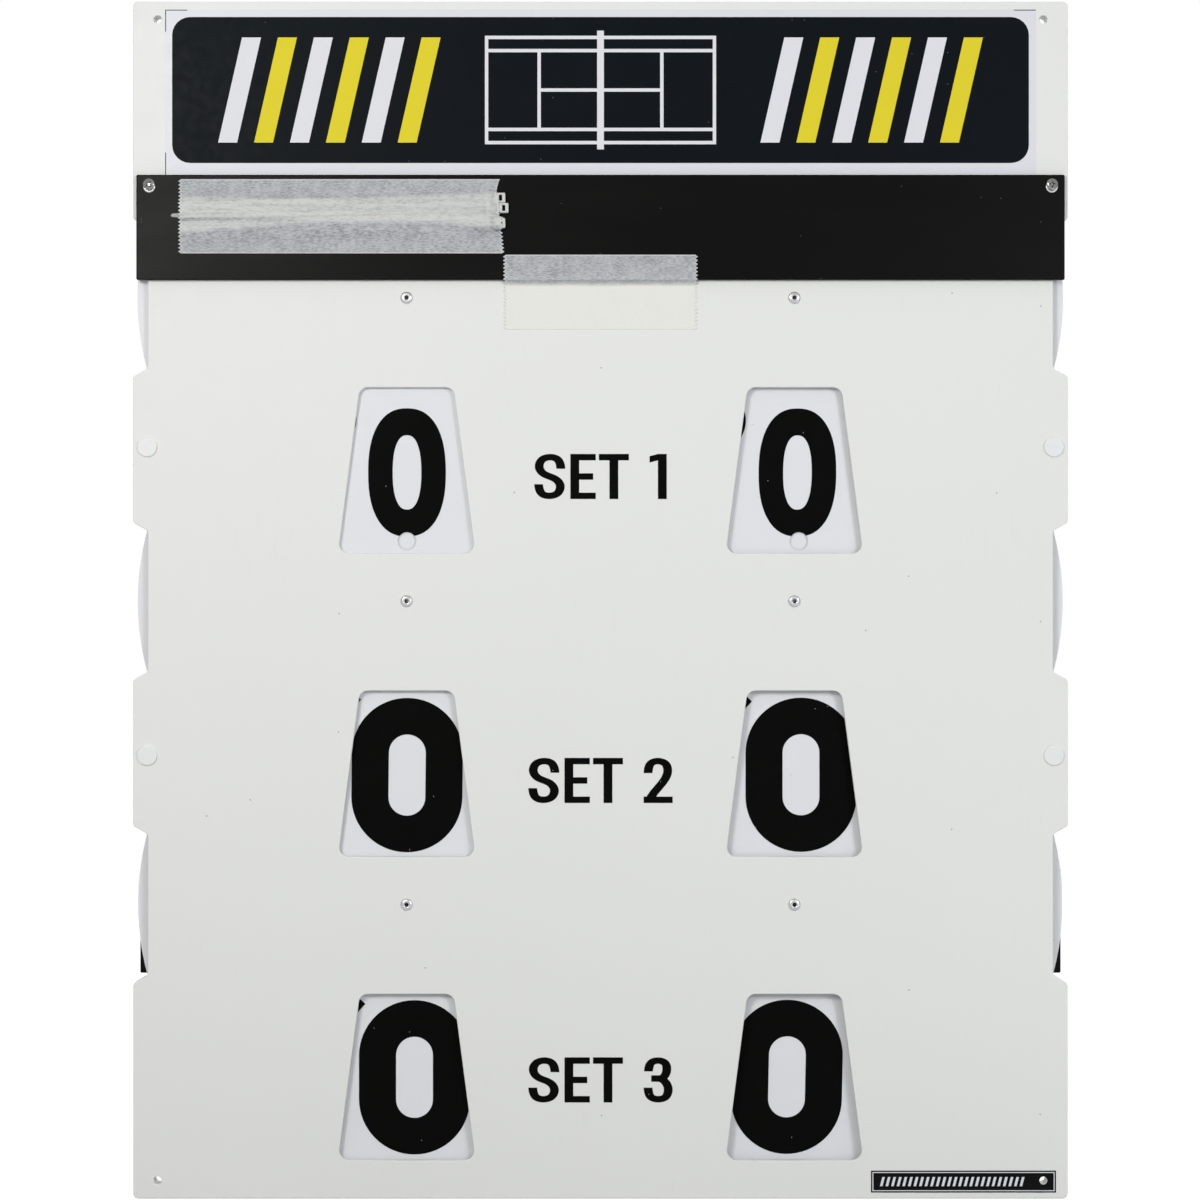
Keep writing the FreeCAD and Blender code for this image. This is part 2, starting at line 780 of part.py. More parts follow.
def figure_cell(figure, cell, width_shares):
    """Cell of one figure: the stem sets the width of a one, a share of the full cell that of the others."""
    width = cell.upright * one_width_share if figure == 1 else cell.width * width_shares.get(figure, 1)
    return Cell(width, cell.height, cell.upright, cell.level)


def numeral_cell(height, shares):
    """Cell of a numeral from its height and its shares of width, upright and level stroke."""
    width, upright, level = [height * share for share in shares]
    return Cell(width, height, upright, level)


def make_numerals():
    """Numerals round each disc, upright when they come to the bottom."""
    wide_zero = numeral_cell(wide_height, wide_zero_shares)
    wide = numeral_cell(wide_height * figure_height_share, wide_shares)
    narrow_zero = numeral_cell(narrow_height, narrow_zero_shares)
    narrow = numeral_cell(narrow_height * figure_height_share, narrow_shares)
    for row, side in pivots():
        if row == sets[0]:
            zero, zero_cell, cell, width_shares = oval_zero, narrow_zero, narrow, narrow_figure_shares
        else:
            zero, zero_cell, cell, width_shares = stadium_zero, wide_zero, wide, wide_figure_shares
        x, z = pivot_x(side), pivot_z(row)
        count = max(width_shares) + 1
        characters = []
        for figure in range(count):
            own_cell = figure_cell(figure, cell, width_shares) if figure else zero_cell
            character = cut_vinyl(figures.get(figure, zero)(own_cell))
            character.translate(Vector(x, disc_front(row, side), z - numeral_reach))
            if figure == 0:
                character = turned(character, x, z - numeral_reach, zero_lean_degrees[(row, side)])
            angle = 360 / count * figure + seen_turn_degrees[(row, side)]
            character = turned(character, x, z, angle)
            if figure == 0 and row == sets[0]:
                character = character.cut(peg_hole(row, side))
            characters.append(character)
        parts[f"numerals_{row}_{side}"] = group(characters)


def make_lettering():
    """Set labels on the front panel."""
    words = [(letter_s, letter_s_width, 0), (letter_e, letter_e_width, letter_e_gap),
             (letter_t, letter_t_width, letter_t_gap)]
    for row in sets:
        width = letter_upright * one_width_share if row == 1 else letter_figure_width
        characters = words + [(figures[row], width, word_gap)]
        total = sum(width + gap for _, width, gap in characters)
        left = -total / 2
        level = pivot_z(row) - lettering_drop - lettering_sags[row]
        solids = []
        for draw, width, gap in characters:
            cell = Cell(width, letter_height, letter_upright, letter_level)
            solid = cut_vinyl(draw(cell))
            left += gap
            solid.translate(Vector(left + width / 2, front_face, level))
            left += width
            solids.append(solid)
        parts[f"set_label_{row}"] = group(solids)


def cable_tie(head_x, head_z, length):
    """Flat tie with its slotted head at the right, its strap running to the left."""
    strap_left = head_x - length
    neck = head_x - tie_head_length / 2
    face = strip_face
    tip = strap_left + tie_tip_length
    half, point = tie_strap_width / 2, tie_tip_width / 2
    outline = [(neck, head_z - half), (neck, head_z + half), (tip, head_z + half), (strap_left, head_z + point),
               (strap_left, head_z - point), (tip, head_z - half)]
    corners = [Vector(x, face - tie_strap_height, z) for x, z in outline]
    strap = Part.Face(Part.makePolygon(corners + corners[:1])).extrude(Vector(0, tie_strap_height, 0))
    head = block(neck, neck + tie_head_length, face - tie_head_height, face,
                 head_z - tie_head_width / 2, head_z + tie_head_width / 2)
    slot = block(head_x - tie_slot_length / 2, head_x + tie_slot_length / 2, face - tie_head_height - overrun,
                 face + overrun, head_z - tie_slot_width / 2, head_z + tie_slot_width / 2)
    tie = strap.fuse(head).removeSplitter().cut(slot)
    tie.rotate(Vector(head_x, 0, head_z), Vector(0, 1, 0), -tie_tilt_degrees)
    return tie


def make_ties_and_tape():
    """Three ties on the name strip, the long tape over them and the short tape over the strip's lower edge."""
    tape_left = -strip_width / 2 + long_tape_side_inset
    tape_right = tape_left + long_tape_length
    first = strip_top - tie_first_drop
    second = first - tie_second_step
    third = second - tie_third_step
    head_x = tape_right + tape_clearance + tie_head_length / 2 + tie_head_width / 2 * slope_of_ties()
    parts["cable_tie_upper"] = cable_tie(head_x, first, tie_length - tie_trim)
    parts["cable_tie_middle"] = cable_tie(head_x + tie_stagger, second, tie_length)
    parts["cable_tie_lower"] = cable_tie(head_x, third, tie_length - tie_trim)

    top = strip_top - long_tape_top_inset
    bottom = top - tape_width
    roof_top = first + tie_strap_width / 2 + tape_clearance
    roof_bottom = third - tie_strap_width / 2 - tape_clearance - long_tape_length * slope_of_ties()
    roof = strip_face - tie_strap_height - tape_clearance
    under = [(strip_face, top), (strip_face, roof_top + tape_ramp), (roof, roof_top), (roof, roof_bottom),
             (strip_face, roof_bottom - tape_ramp), (strip_face, bottom)]
    over = [(y - tape_film, z) for y, z in reversed(under)]
    parts["masking_tape_long"] = prism(under + over, tape_left, tape_right)

    lap_top = strip_bottom + short_tape_lap
    lap_bottom = lap_top - tape_width
    under = [(strip_face, lap_top), (strip_face, strip_bottom), (front_face, strip_bottom - strip_sheet),
             (front_face, lap_bottom)]
    over = [(y - tape_film, z) for y, z in reversed(under)]
    parts["masking_tape_short"] = prism(under + over, -short_tape_length / 2, short_tape_length / 2)


def slope_of_ties():
    """Fall of the ties towards the left, per unit of length."""
    return math.tan(math.radians(tie_tilt_degrees))


make_panels()
make_discs()
make_pivots()
make_ears()
make_tie_spacers()
make_name_strip()
make_rear_strip()
make_stickers()
make_numerals()
make_lettering()
make_ties_and_tape()

os.makedirs("parts", exist_ok=True)
for name, shape in parts.items():
    shape.exportStep(f"parts/{name}.step")
    sound = all(solid.isValid() for solid in shape.Solids)
    print(name, len(shape.Solids), "solids", round(shape.Volume, 2), "mm3", "sound" if sound else "BROKEN")
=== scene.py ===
"""Dress the tennis scoreboard: its finishes, print, tapes, ties and fasteners, and the studio round it."""
import json
import logging
import math
from dataclasses import dataclass, field
from enum import Enum

import bmesh
import bpy
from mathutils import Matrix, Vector, geometry, noise


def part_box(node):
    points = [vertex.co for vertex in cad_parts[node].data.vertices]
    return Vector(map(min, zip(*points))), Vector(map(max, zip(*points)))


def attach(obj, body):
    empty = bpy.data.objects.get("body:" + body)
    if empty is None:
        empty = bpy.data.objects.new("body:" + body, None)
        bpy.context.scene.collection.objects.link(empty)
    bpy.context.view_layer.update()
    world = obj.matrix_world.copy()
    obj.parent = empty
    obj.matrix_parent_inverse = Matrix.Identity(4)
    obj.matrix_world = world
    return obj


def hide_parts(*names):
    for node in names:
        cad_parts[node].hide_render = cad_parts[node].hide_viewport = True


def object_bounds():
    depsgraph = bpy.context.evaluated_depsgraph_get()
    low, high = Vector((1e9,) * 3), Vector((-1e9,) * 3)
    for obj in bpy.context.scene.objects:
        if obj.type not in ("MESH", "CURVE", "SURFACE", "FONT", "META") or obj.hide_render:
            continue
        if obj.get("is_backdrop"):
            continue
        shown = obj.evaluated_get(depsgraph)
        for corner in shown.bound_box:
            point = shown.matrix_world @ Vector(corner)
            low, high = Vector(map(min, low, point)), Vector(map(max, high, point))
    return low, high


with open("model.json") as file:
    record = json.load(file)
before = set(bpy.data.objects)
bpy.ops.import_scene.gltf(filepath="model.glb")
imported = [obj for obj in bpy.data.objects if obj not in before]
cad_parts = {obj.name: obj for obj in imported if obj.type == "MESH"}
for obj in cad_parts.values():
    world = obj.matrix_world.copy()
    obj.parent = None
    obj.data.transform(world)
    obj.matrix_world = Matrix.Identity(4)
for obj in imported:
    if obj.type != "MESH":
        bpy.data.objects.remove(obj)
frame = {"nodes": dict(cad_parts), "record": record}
CAD_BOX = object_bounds()

LOG = logging.getLogger("scoreboard")
BOARD = "board"
MM = 0.001
EASE_STEPS = 3
SHARPEST_MITRE = 0.2
STRAIGHT = 1e-4
TINY = 1e-6
PLACE_DIGITS = 6

Triple = tuple[float, float, float]
Colour = Triple
Point = tuple[float, float]
Stops = tuple[Point, ...]
Loop = list[Point]
Ring = list[bmesh.types.BMVert]
Socket = bpy.types.NodeSocket

# The stretch of a noise's values that a finish spreads over its whole range
MIDDLE = (0.3, 0.7)


def smooth(value: float) -> float:
    """Ease a share between 0 and 1 with level ends."""
    share = min(1.0, max(0.0, value))
    return share * share * (3.0 - 2.0 * share)


def between(value: float, stops: Stops) -> float:
    """Read a straight-line table.

    Args:
        value: where to read it.
        stops: pairs of place and value, in rising order of place.

    Returns:
        The value at that place, held level past both ends.
    """
    if value <= stops[0][0]:
        return stops[0][1]
    for (low, first), (high, second) in zip(stops, stops[1:]):
        if value <= high:
            return first + (second - first) * (value - low) / (high - low)
    return stops[-1][1]


# Node trees of the finishes

@dataclass(frozen=True)
class Specks:
    """Small round specks: distance between their places, radius, share of the places that hold one, colour."""

    cell: float
    radius: float
    share: float
    colour: Colour


@dataclass(frozen=True)
class Grain:
    """Fine bumps all over a surface: noise scale per metre, depth, strength and detail."""

    scale: float
    depth: float
    strength: float
    detail: float = 2.0


class Nodes:
    """A shader node tree, with short calls for adding to it."""

    def __init__(self, tree: bpy.types.NodeTree) -> None:
        """Work on a tree."""
        self.tree = tree

    def feed(self, target: Socket, value: object) -> None:
        """Link a socket to an input, or set the input's own value; a plain colour gets its alpha."""
        if isinstance(value, Socket):
            self.tree.links.new(value, target)
        elif target.type == "RGBA":
            target.default_value = (*value, 1.0)
        else:
            target.default_value = value

    def node(self, kind: str, inputs: dict[str | int, object], **settings: object) -> bpy.types.Node:
        """Add a node.

        Args:
            kind: the node's type.
            inputs: a value or a socket for each named input.
            settings: the node's own properties.

        Returns:
            The new node.
        """
        made = self.tree.nodes.new(kind)
        for name, value in settings.items():
            setattr(made, name, value)
        for name, value in inputs.items():
            self.feed(made.inputs[name], value)
        return made

    def math(self, operation: str, first: object, second: object = 0.0) -> Socket:
        """Join two numbers or sockets by one operation."""
        return self.node("ShaderNodeMath", {0: first, 1: second}, operation=operation).outputs[0]

    def times(self, first: object, second: object) -> Socket:
        """Multiply two numbers or sockets."""
        return self.math("MULTIPLY", first, second)

    def span(self, value: Socket, low: float, high: float, start: float = 0.0, end: float = 1.0) -> Socket:
        """Map the stretch from start to end of a value onto low to high, held at both ends."""
        inputs = {"Value": value, "From Min": start, "From Max": end, "To Min": low, "To Max": high}
        return self.node("ShaderNodeMapRange", inputs).outputs["Result"]

    def seen(self) -> Socket:
        """1 for what the camera sees, straight, in a reflection or through a clear thing, and 0 for light."""
        path = self.node("ShaderNodeLightPath", {}).outputs
        direct = self.math("MAXIMUM", path["Is Camera Ray"], path["Is Glossy Ray"])
        return self.math("MAXIMUM", direct, path["Is Transmission Ray"])


class Shader(Nodes):
    """One material's node tree, with the patterns that the finishes share."""

    def __init__(self, name: str) -> None:
        """Start a material with its Principled shader and its Object coordinates."""
        self.material = bpy.data.materials.new(name)
        self.material.use_nodes = True
        super().__init__(self.material.node_tree)
        self.surface = self.tree.nodes["Principled BSDF"]
        self.coords = self.node("ShaderNodeTexCoord", {}).outputs["Object"]

    def set(self, **values: object) -> None:
        """Set or link the shader's own inputs, with spaces in their names written as underscores."""
        for name, value in values.items():
            self.feed(self.surface.inputs[name.replace("_", " ")], value)

    def mix(self, share: object, first: object, second: object) -> Socket:
        """Mix two colours by a share."""
        return self.node("ShaderNodeMix", {0: share, 6: first, 7: second}, data_type="RGBA").outputs[2]

    def placed(self, scale: Triple, shift: Triple = (0.0, 0.0, 0.0)) -> Socket:
        """Object coordinates, shifted and then stretched."""
        moved = self.node("ShaderNodeVectorMath", {0: self.coords, 1: shift}, operation="ADD").outputs[0]
        return self.node("ShaderNodeVectorMath", {0: moved, 1: scale}, operation="MULTIPLY").outputs[0]

    def noise(self, scale: float, detail: float = 2.0, vector: Socket | None = None) -> Socket:
        """Soft noise of a given scale per metre."""
        inputs = {"Vector": vector or self.coords, "Scale": scale, "Detail": detail}
        return self.node("ShaderNodeTexNoise", inputs).outputs[0]

    def stretched(self, scale: Triple, detail: float, shift: Triple = (0.0, 0.0, 0.0)) -> Socket:
        """Soft noise with a scale of its own along each axis."""
        return self.noise(1.0, detail, self.placed(scale, shift))

    def distance(self, place: Point) -> Socket:
        """Distance from a place on the board, seen from the front."""
        away = self.placed((1.0, 0.0, 1.0), (-place[0], 0.0, -place[1]))
        return self.node("ShaderNodeVectorMath", {0: away}, operation="LENGTH").outputs["Value"]

    def speckled(self, colour: Socket, specks: Specks) -> Socket:
        """Scatter specks over a colour, as seen from the front."""
        parts = self.node("ShaderNodeSeparateXYZ", {0: self.coords}).outputs
        flat = self.node("ShaderNodeCombineXYZ", {0: parts["X"], 1: parts["Z"]}).outputs[0]
        cells = self.node("ShaderNodeTexVoronoi", {"Vector": flat, "Scale": 1.0 / specks.cell},
                          voronoi_dimensions="2D")
        near = self.math("LESS_THAN", cells.outputs["Distance"], specks.radius / specks.cell)
        pick = self.node("ShaderNodeSeparateColor", {0: cells.outputs["Color"]}).outputs[0]
        held = self.times(near, self.math("LESS_THAN", pick, specks.share))
        return self.mix(held, colour, specks.colour)

    def attribute(self, name: str) -> Socket:
        """Read one of the mesh's own number attributes."""
        return self.node("ShaderNodeAttribute", {}, attribute_name=name).outputs["Fac"]

    def rough(self, value: Socket, limits: Point, stretch: Point = MIDDLE) -> None:
        """Spread a stretch of a value between the limits of the roughness."""
        self.set(Roughness=self.span(value, *limits, *stretch))

    def bump(self, height: Socket, depth: float, strength: float) -> None:
        """Roughen the surface by a height map of a given depth."""
        inputs = {"Height": height, "Distance": depth, "Strength": strength}
        self.set(Normal=self.node("ShaderNodeBump", inputs).outputs[0])

    def grained(self, grain: Grain) -> None:
        """Roughen the surface by a fine grain."""
        self.bump(self.noise(grain.scale, grain.detail), grain.depth, grain.strength)


@dataclass(frozen=True)
class Finish:
    """A finish by its material's name; each kind dresses a shader in its own way."""

    name: str

    def make(self) -> bpy.types.Material:
        """Build the material."""
        shader = Shader(self.name)
        self.dress(shader)
        return shader.material

    def dress(self, shader: Shader) -> None:
        """Set up the shader."""
        raise NotImplementedError


@dataclass(frozen=True)
class SheetFinish(Finish):
    """Satin plastic sheet with faint clouding, sparse dark specks and hairline scuffs."""

    clean: Colour
    cloud: Colour
    cloud_scale: float = 7.0
    scuff: Colour = (0.70, 0.70, 0.69)
    scuff_scale: Triple = (900.0, 60.0, 55.0)
    scuff_stretch: Point = (0.60, 0.72)
    patch_scale: float = 16.0
    patch_share: float = 0.30
    patch_stretch: Point = (0.50, 0.72)
    specks: Specks = Specks(22 * MM, 0.30 * MM, 0.05, (0.16, 0.15, 0.14))
    specular: float = 0.16
    roughness: Point = (0.36, 0.50)
    roughness_scale: float = 90.0
    grain: Grain = Grain(1500.0, 0.03 * MM, 0.25)

    def dress(self, shader: Shader) -> None:
        """Set up the shader."""
        colour = shader.mix(shader.noise(self.cloud_scale, detail=3.0), self.clean, self.cloud)
        scuffs = shader.span(shader.stretched(self.scuff_scale, detail=4.0), 0.0, 1.0, *self.scuff_stretch)
        patches = shader.span(shader.noise(self.patch_scale), 0.0, self.patch_share, *self.patch_stretch)
        colour = shader.mix(shader.times(scuffs, patches), colour, self.scuff)
        shader.set(Base_Color=shader.speckled(colour, self.specks), Specular_IOR_Level=self.specular)
        shader.rough(shader.noise(self.roughness_scale, detail=3.0), self.roughness)
        shader.grained(self.grain)


@dataclass(frozen=True)
class DiscFinish(Finish):
    """Smooth disc sheet with faint rings rubbed round its pivot, and a thin grey ring of painted shade round
    its hole, standing in for the shadow at the hole's edge.
    """

    pivot: Point
    hole: Point | None
    hole_radius: float
    # cut: grey of the thin ring of painted shade round the hole, standing in for the shadow at the hole's edge
    cut: Colour = (0.44, 0.44, 0.45)
    hole_shade_width: float = 0.45 * MM
    hole_shade_share: float = 0.8
    clean: Colour = (0.742, 0.750, 0.778)
    cloud: Colour = (0.754, 0.761, 0.786)
    cloud_scale: float = 11.0
    rub: Colour = (0.68, 0.69, 0.71)
    ring_scale: float = 420.0
    ring_stretch: Point = (0.58, 0.70)
    broken_scale: float = 24.0
    broken_share: float = 0.32
    broken_stretch: Point = (0.46, 0.70)
    specks: Specks = Specks(19 * MM, 0.24 * MM, 0.05, (0.40, 0.39, 0.38))
    specular: float = 0.16
    roughness: Point = (0.30, 0.42)
    roughness_stretch: Point = (0.35, 0.65)
    grain: Grain = Grain(1700.0, 0.02 * MM, 0.2)

    def dress(self, shader: Shader) -> None:
        """Set up the shader."""
        colour = shader.mix(shader.noise(self.cloud_scale, detail=3.0), self.clean, self.cloud)
        if self.hole:
            # Painted shade: a thin grey ring just outside the hole, where its edge would cast a shadow
            edge = shader.span(shader.distance(self.hole), self.hole_shade_share, 0.0, self.hole_radius,
                               self.hole_radius + self.hole_shade_width)
            colour = shader.mix(edge, colour, self.cut)
        radius = shader.node("ShaderNodeCombineXYZ", {0: shader.distance(self.pivot)}).outputs[0]
        rings = shader.noise(self.ring_scale, detail=3.0, vector=radius)
        broken = shader.span(shader.noise(self.broken_scale), 0.0, self.broken_share, *self.broken_stretch)
        rubs = shader.times(shader.span(rings, 0.0, 1.0, *self.ring_stretch), broken)
        colour = shader.speckled(shader.mix(rubs, colour, self.rub), self.specks)
        shader.set(Base_Color=colour, Specular_IOR_Level=self.specular)
        shader.rough(rings, self.roughness, self.roughness_stretch)
        shader.grained(self.grain)


@dataclass(frozen=True)
class FilmFinish(Finish):
    """Cut or printed film: an even colour with fine grain, pale dust and a soft gloss."""

    clean: Colour
    worn: Colour
    dust: Colour
    worn_scale: float = 60.0
    dust_cell: float = 6 * MM
    dust_radius: float = 0.20 * MM
    dust_share: float = 0.035
    specular: float = 0.03
    roughness: Point = (0.34, 0.50)
    roughness_scale: float = 220.0
    grain: Grain = Grain(2600.0, 0.01 * MM, 0.2)

    def dress(self, shader: Shader) -> None:
        """Set up the shader."""
        colour = shader.mix(shader.noise(self.worn_scale, detail=4.0), self.clean, self.worn)
        specks = Specks(self.dust_cell, self.dust_radius, self.dust_share, self.dust)
        shader.set(Base_Color=shader.speckled(colour, specks), Specular_IOR_Level=self.specular)
        shader.rough(shader.noise(self.roughness_scale, detail=3.0), self.roughness)
        shader.grained(self.grain)


@dataclass(frozen=True)
class PolishedFinish(Finish):
    """Polished dark sheet with wiped smudges, hairlines and dust."""

    clean: Colour = (0.0008, 0.0008, 0.0007)
    smudge: Colour = (0.0011, 0.0011, 0.0010)
    wipe_scale: Triple = (14.0, 40.0, 60.0)
    wipe_stretch: Point = (0.40, 0.75)
    hair: Colour = (0.030, 0.030, 0.029)
    hair_scale: Triple = (25.0, 300.0, 1500.0)
    hair_share: float = 0.20
    hair_stretch: Point = (0.72, 0.80)
    specks: Specks = Specks(10 * MM, 0.20 * MM, 0.06, (0.12, 0.12, 0.115))
    specular: float = 0.07
    roughness: Point = (0.30, 0.36)
    roughness_stretch: Point = (0.35, 0.70)
    grain: Grain = Grain(700.0, 0.01 * MM, 0.15)

    def dress(self, shader: Shader) -> None:
        """Set up the shader."""
        wipes = shader.stretched(self.wipe_scale, detail=4.0)
        colour = shader.mix(shader.span(wipes, 0.0, 1.0, *self.wipe_stretch), self.clean, self.smudge)
        hairs = shader.stretched(self.hair_scale, detail=2.0)
        hairs = shader.span(hairs, 0.0, self.hair_share, *self.hair_stretch)
        colour = shader.speckled(shader.mix(hairs, colour, self.hair), self.specks)
        shader.set(Base_Color=colour, Specular_IOR_Level=self.specular)
        shader.rough(wipes, self.roughness, self.roughness_stretch)
        shader.grained(self.grain)


@dataclass(frozen=True)
class MetalFinish(Finish):
    """Bare or plated metal with mottling and fine tool marks."""

    clean: Colour
    dull: Colour
    roughness: Point
    mottle_scale: float = 650.0
    roughness_scale: float = 1400.0
    grain: Grain = Grain(3200.0, 0.03 * MM, 0.35, 3.0)

    def dress(self, shader: Shader) -> None:
        """Set up the shader."""
        mottle = shader.noise(self.mottle_scale, detail=4.0)
        shader.set(Base_Color=shader.mix(mottle, self.clean, self.dull), Metallic=1.0)
        shader.rough(shader.noise(self.roughness_scale, detail=3.0), self.roughness)
        shader.grained(self.grain)


@dataclass(frozen=True)
class NylonFinish(Finish):
    """Moulded nylon: waxy, slightly clear, with flow marks, and greyer where the thin attribute says so."""

    clean: Colour
    flow: Colour
    clear: float = 0.15
    clear_depth: float = 0.8 * MM
    thin: Colour = (0.33, 0.34, 0.36)
    flow_scale: Triple = (120.0, 420.0, 420.0)
    specular: float = 0.3
    roughness: Point = (0.30, 0.46)
    roughness_scale: float = 500.0
    grain: Grain = Grain(2400.0, 0.02 * MM, 0.25)

    def dress(self, shader: Shader) -> None:
        """Set up the shader."""
        colour = shader.mix(shader.stretched(self.flow_scale, detail=3.0), self.clean, self.flow)
        colour = shader.mix(shader.attribute("thin"), colour, self.thin)
        shader.set(Base_Color=colour, Specular_IOR_Level=self.specular)
        shader.set(Subsurface_Weight=self.clear, Subsurface_Scale=self.clear_depth)
        shader.rough(shader.noise(self.roughness_scale), self.roughness)
        shader.grained(self.grain)


@dataclass(frozen=True)
class PaperFinish(Finish):
    """Creped masking paper: greyish on a dark sheet, and pale where it is lifted, cut or lies on white."""

    fibre: Colour = (0.492, 0.503, 0.516)
    streak: Colour = (0.285, 0.299, 0.318)
    dash: Colour = (0.165, 0.175, 0.188)
    lifted: Colour = (0.615, 0.622, 0.604)
    edge: Colour = (0.74, 0.75, 0.75)
    on_white: Colour = (0.782, 0.788, 0.746)
    on_white_grain: Colour = (0.762, 0.768, 0.726)
    streak_scale: Triple = (480.0, 300.0, 1500.0)
    streak_part: float = 0.68
    cloud_scale: float = 150.0
    cloud_part: float = 0.32
    grain_stretch: Point = (0.36, 0.58)
    dash_scale: Triple = (420.0, 300.0, 2300.0)
    dash_shift: Triple = (0.7, 0.0, 0.3)
    dash_share: float = 0.75
    dash_stretch: Point = (0.58, 0.72)
    ridge_scale: Triple = (22.0, 300.0, 760.0)
    ridge_shift: Triple = (0.2, 0.0, 0.9)
    ridge_least: float = 0.55
    ridge_stretch: Point = (0.34, 0.54)
    lift_least: float = 0.66
    lift_stretch: Point = (0.34, 0.56)
    edge_share: float = 0.75
    white_stretch: Point = (0.35, 0.65)
    specular: float = 0.12
    roughness: Point = (0.55, 0.75)
    crepe_scale: Triple = (1900.0, 300.0, 260.0)
    crepe_depth: float = 0.08 * MM
    crepe_strength: float = 0.45

    def dress(self, shader: Shader) -> None:
        """Set up the shader, which reads the tape's lift, edge and ground attributes."""
        streaks = shader.stretched(self.streak_scale, detail=3.0)
        clouds = shader.times(shader.noise(self.cloud_scale), self.cloud_part)
        grain = shader.math("ADD", shader.times(streaks, self.streak_part), clouds)
        colour = shader.mix(shader.span(grain, 0.0, 1.0, *self.grain_stretch), self.streak, self.fibre)
        dashes = shader.stretched(self.dash_scale, detail=2.0, shift=self.dash_shift)
        colour = shader.mix(shader.span(dashes, 0.0, self.dash_share, *self.dash_stretch), colour, self.dash)
        ridges = shader.stretched(self.ridge_scale, detail=2.0, shift=self.ridge_shift)
        lift = shader.times(shader.attribute("lift"),
                            shader.span(streaks, self.lift_least, 1.0, *self.lift_stretch))
        lift = shader.times(lift, shader.span(ridges, self.ridge_least, 1.0, *self.ridge_stretch))
        colour = shader.mix(lift, colour, self.lifted)
        colour = shader.mix(shader.times(shader.attribute("edge"), self.edge_share), colour, self.edge)
        white = shader.span(grain, 0.0, 1.0, *self.white_stretch)
        white = shader.mix(white, self.on_white_grain, self.on_white)
        # Tape on white; the soft ramp below the name strip's edge also paints shade there
        colour = shader.mix(shader.attribute("ground"), colour, white)
        shader.set(Base_Color=colour, Specular_IOR_Level=self.specular)
        shader.rough(grain, self.roughness)
        crepe = shader.stretched(self.crepe_scale, detail=3.0)
        shader.bump(shader.math("ADD", crepe, streaks), self.crepe_depth, self.crepe_strength)


class Ink(Enum):
    """Print colours of the film, each with its clean and its worn tone and its dust."""

    DARK = ((0.0040, 0.0062, 0.0088), (0.0056, 0.0078, 0.0104), (0.16, 0.16, 0.16))
    PALE = ((0.735, 0.742, 0.782), (0.716, 0.722, 0.762), (0.62475, 0.6307, 0.6647))
    YELLOW = ((0.745, 0.635, 0.034), (0.715, 0.605, 0.036), (0.63325, 0.53975, 0.0289))

    def finish(self) -> FilmFinish:
        """The finish of film printed in this colour."""
        return FilmFinish(f"ink_{self.name.lower()}", *self.value, roughness=(0.30, 0.42))


class Finishes:
    """The object's materials, each made once."""

    def __init__(self) -> None:
        """Make every finish that more than one piece wears."""
        plain = (
            SheetFinish("white_sheet", (0.782, 0.790, 0.774), (0.768, 0.776, 0.762)),
            FilmFinish("black_vinyl", (0.0018, 0.0018, 0.0017), (0.0032, 0.0032, 0.0031), (0.40, 0.40, 0.40),
                       specular=0.02),
            FilmFinish("label_film", (0.0035, 0.0035, 0.0035), (0.0070, 0.0070, 0.0070), (0.20, 0.20, 0.20)),
            FilmFinish("header_film", (0.722, 0.730, 0.775), (0.706, 0.714, 0.760), (0.62, 0.62, 0.66),
                       specular=0.16, roughness=(0.26, 0.38)),
            PolishedFinish("black_sheet"),
            MetalFinish("rivet_aluminium", (0.52, 0.52, 0.53), (0.36, 0.36, 0.37), (0.24, 0.40)),
            MetalFinish("zinc_steel", (0.26, 0.26, 0.25), (0.14, 0.14, 0.14), (0.14, 0.26)),
            NylonFinish("white_nylon", (0.80, 0.81, 0.81), (0.77, 0.78, 0.79)),
            NylonFinish("tie_nylon", (0.66, 0.67, 0.65), (0.55, 0.56, 0.55), 0.3),
            PaperFinish("masking_paper"),
        )
        self.by_slot = {finish.name: finish.make() for finish in plain}
        self.by_ink = {ink: ink.finish().make() for ink in Ink}


# Meshes

def add_object(name: str, data: bpy.types.ID) -> bpy.types.Object:
    """Link a new object that holds a mesh, a lamp or a camera."""
    made = bpy.data.objects.new(name, data)
    bpy.context.scene.collection.objects.link(made)
    return made


def object_from(name: str, work: bmesh.types.BMesh) -> bpy.types.Object:
    """Close a working mesh and link it as an object."""
    bmesh.ops.recalc_face_normals(work, faces=work.faces)
    mesh = bpy.data.meshes.new(name)
    work.to_mesh(mesh)
    work.free()
    return add_object(name, mesh)


def settle(piece: bpy.types.Object, material: bpy.types.Material, slot: str, *nodes: str) -> None:
    """Finish a piece of the board.

    Args:
        piece: the piece, a plain mesh in the shared frame.
        material: what it wears.
        slot: the name of the record's slot that its finish comes from; not used.
        nodes: the CAD nodes that it stands for.
    """
    piece.data.materials.clear()
    piece.data.materials.append(material)
    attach(piece, BOARD)
    if nodes:
        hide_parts(*nodes)
    LOG.info("%s: %d faces", piece.name, len(piece.data.polygons))


def store_numbers(piece: bpy.types.Object, name: str, values: list[float]) -> None:
    """Keep one number for each vertex as a named attribute."""
    store = piece.data.attributes.new(name, "FLOAT", "POINT")
    store.data.foreach_set("value", values)


def join_rings(work: bmesh.types.BMesh, rings: list[Ring]) -> None:
    """Make the wall from each ring of vertices to the next."""
    for ring, following in zip(rings, rings[1:]):
        for index, vert in enumerate(ring):
            work.faces.new((ring[index - 1], vert, following[index], following[index - 1]))


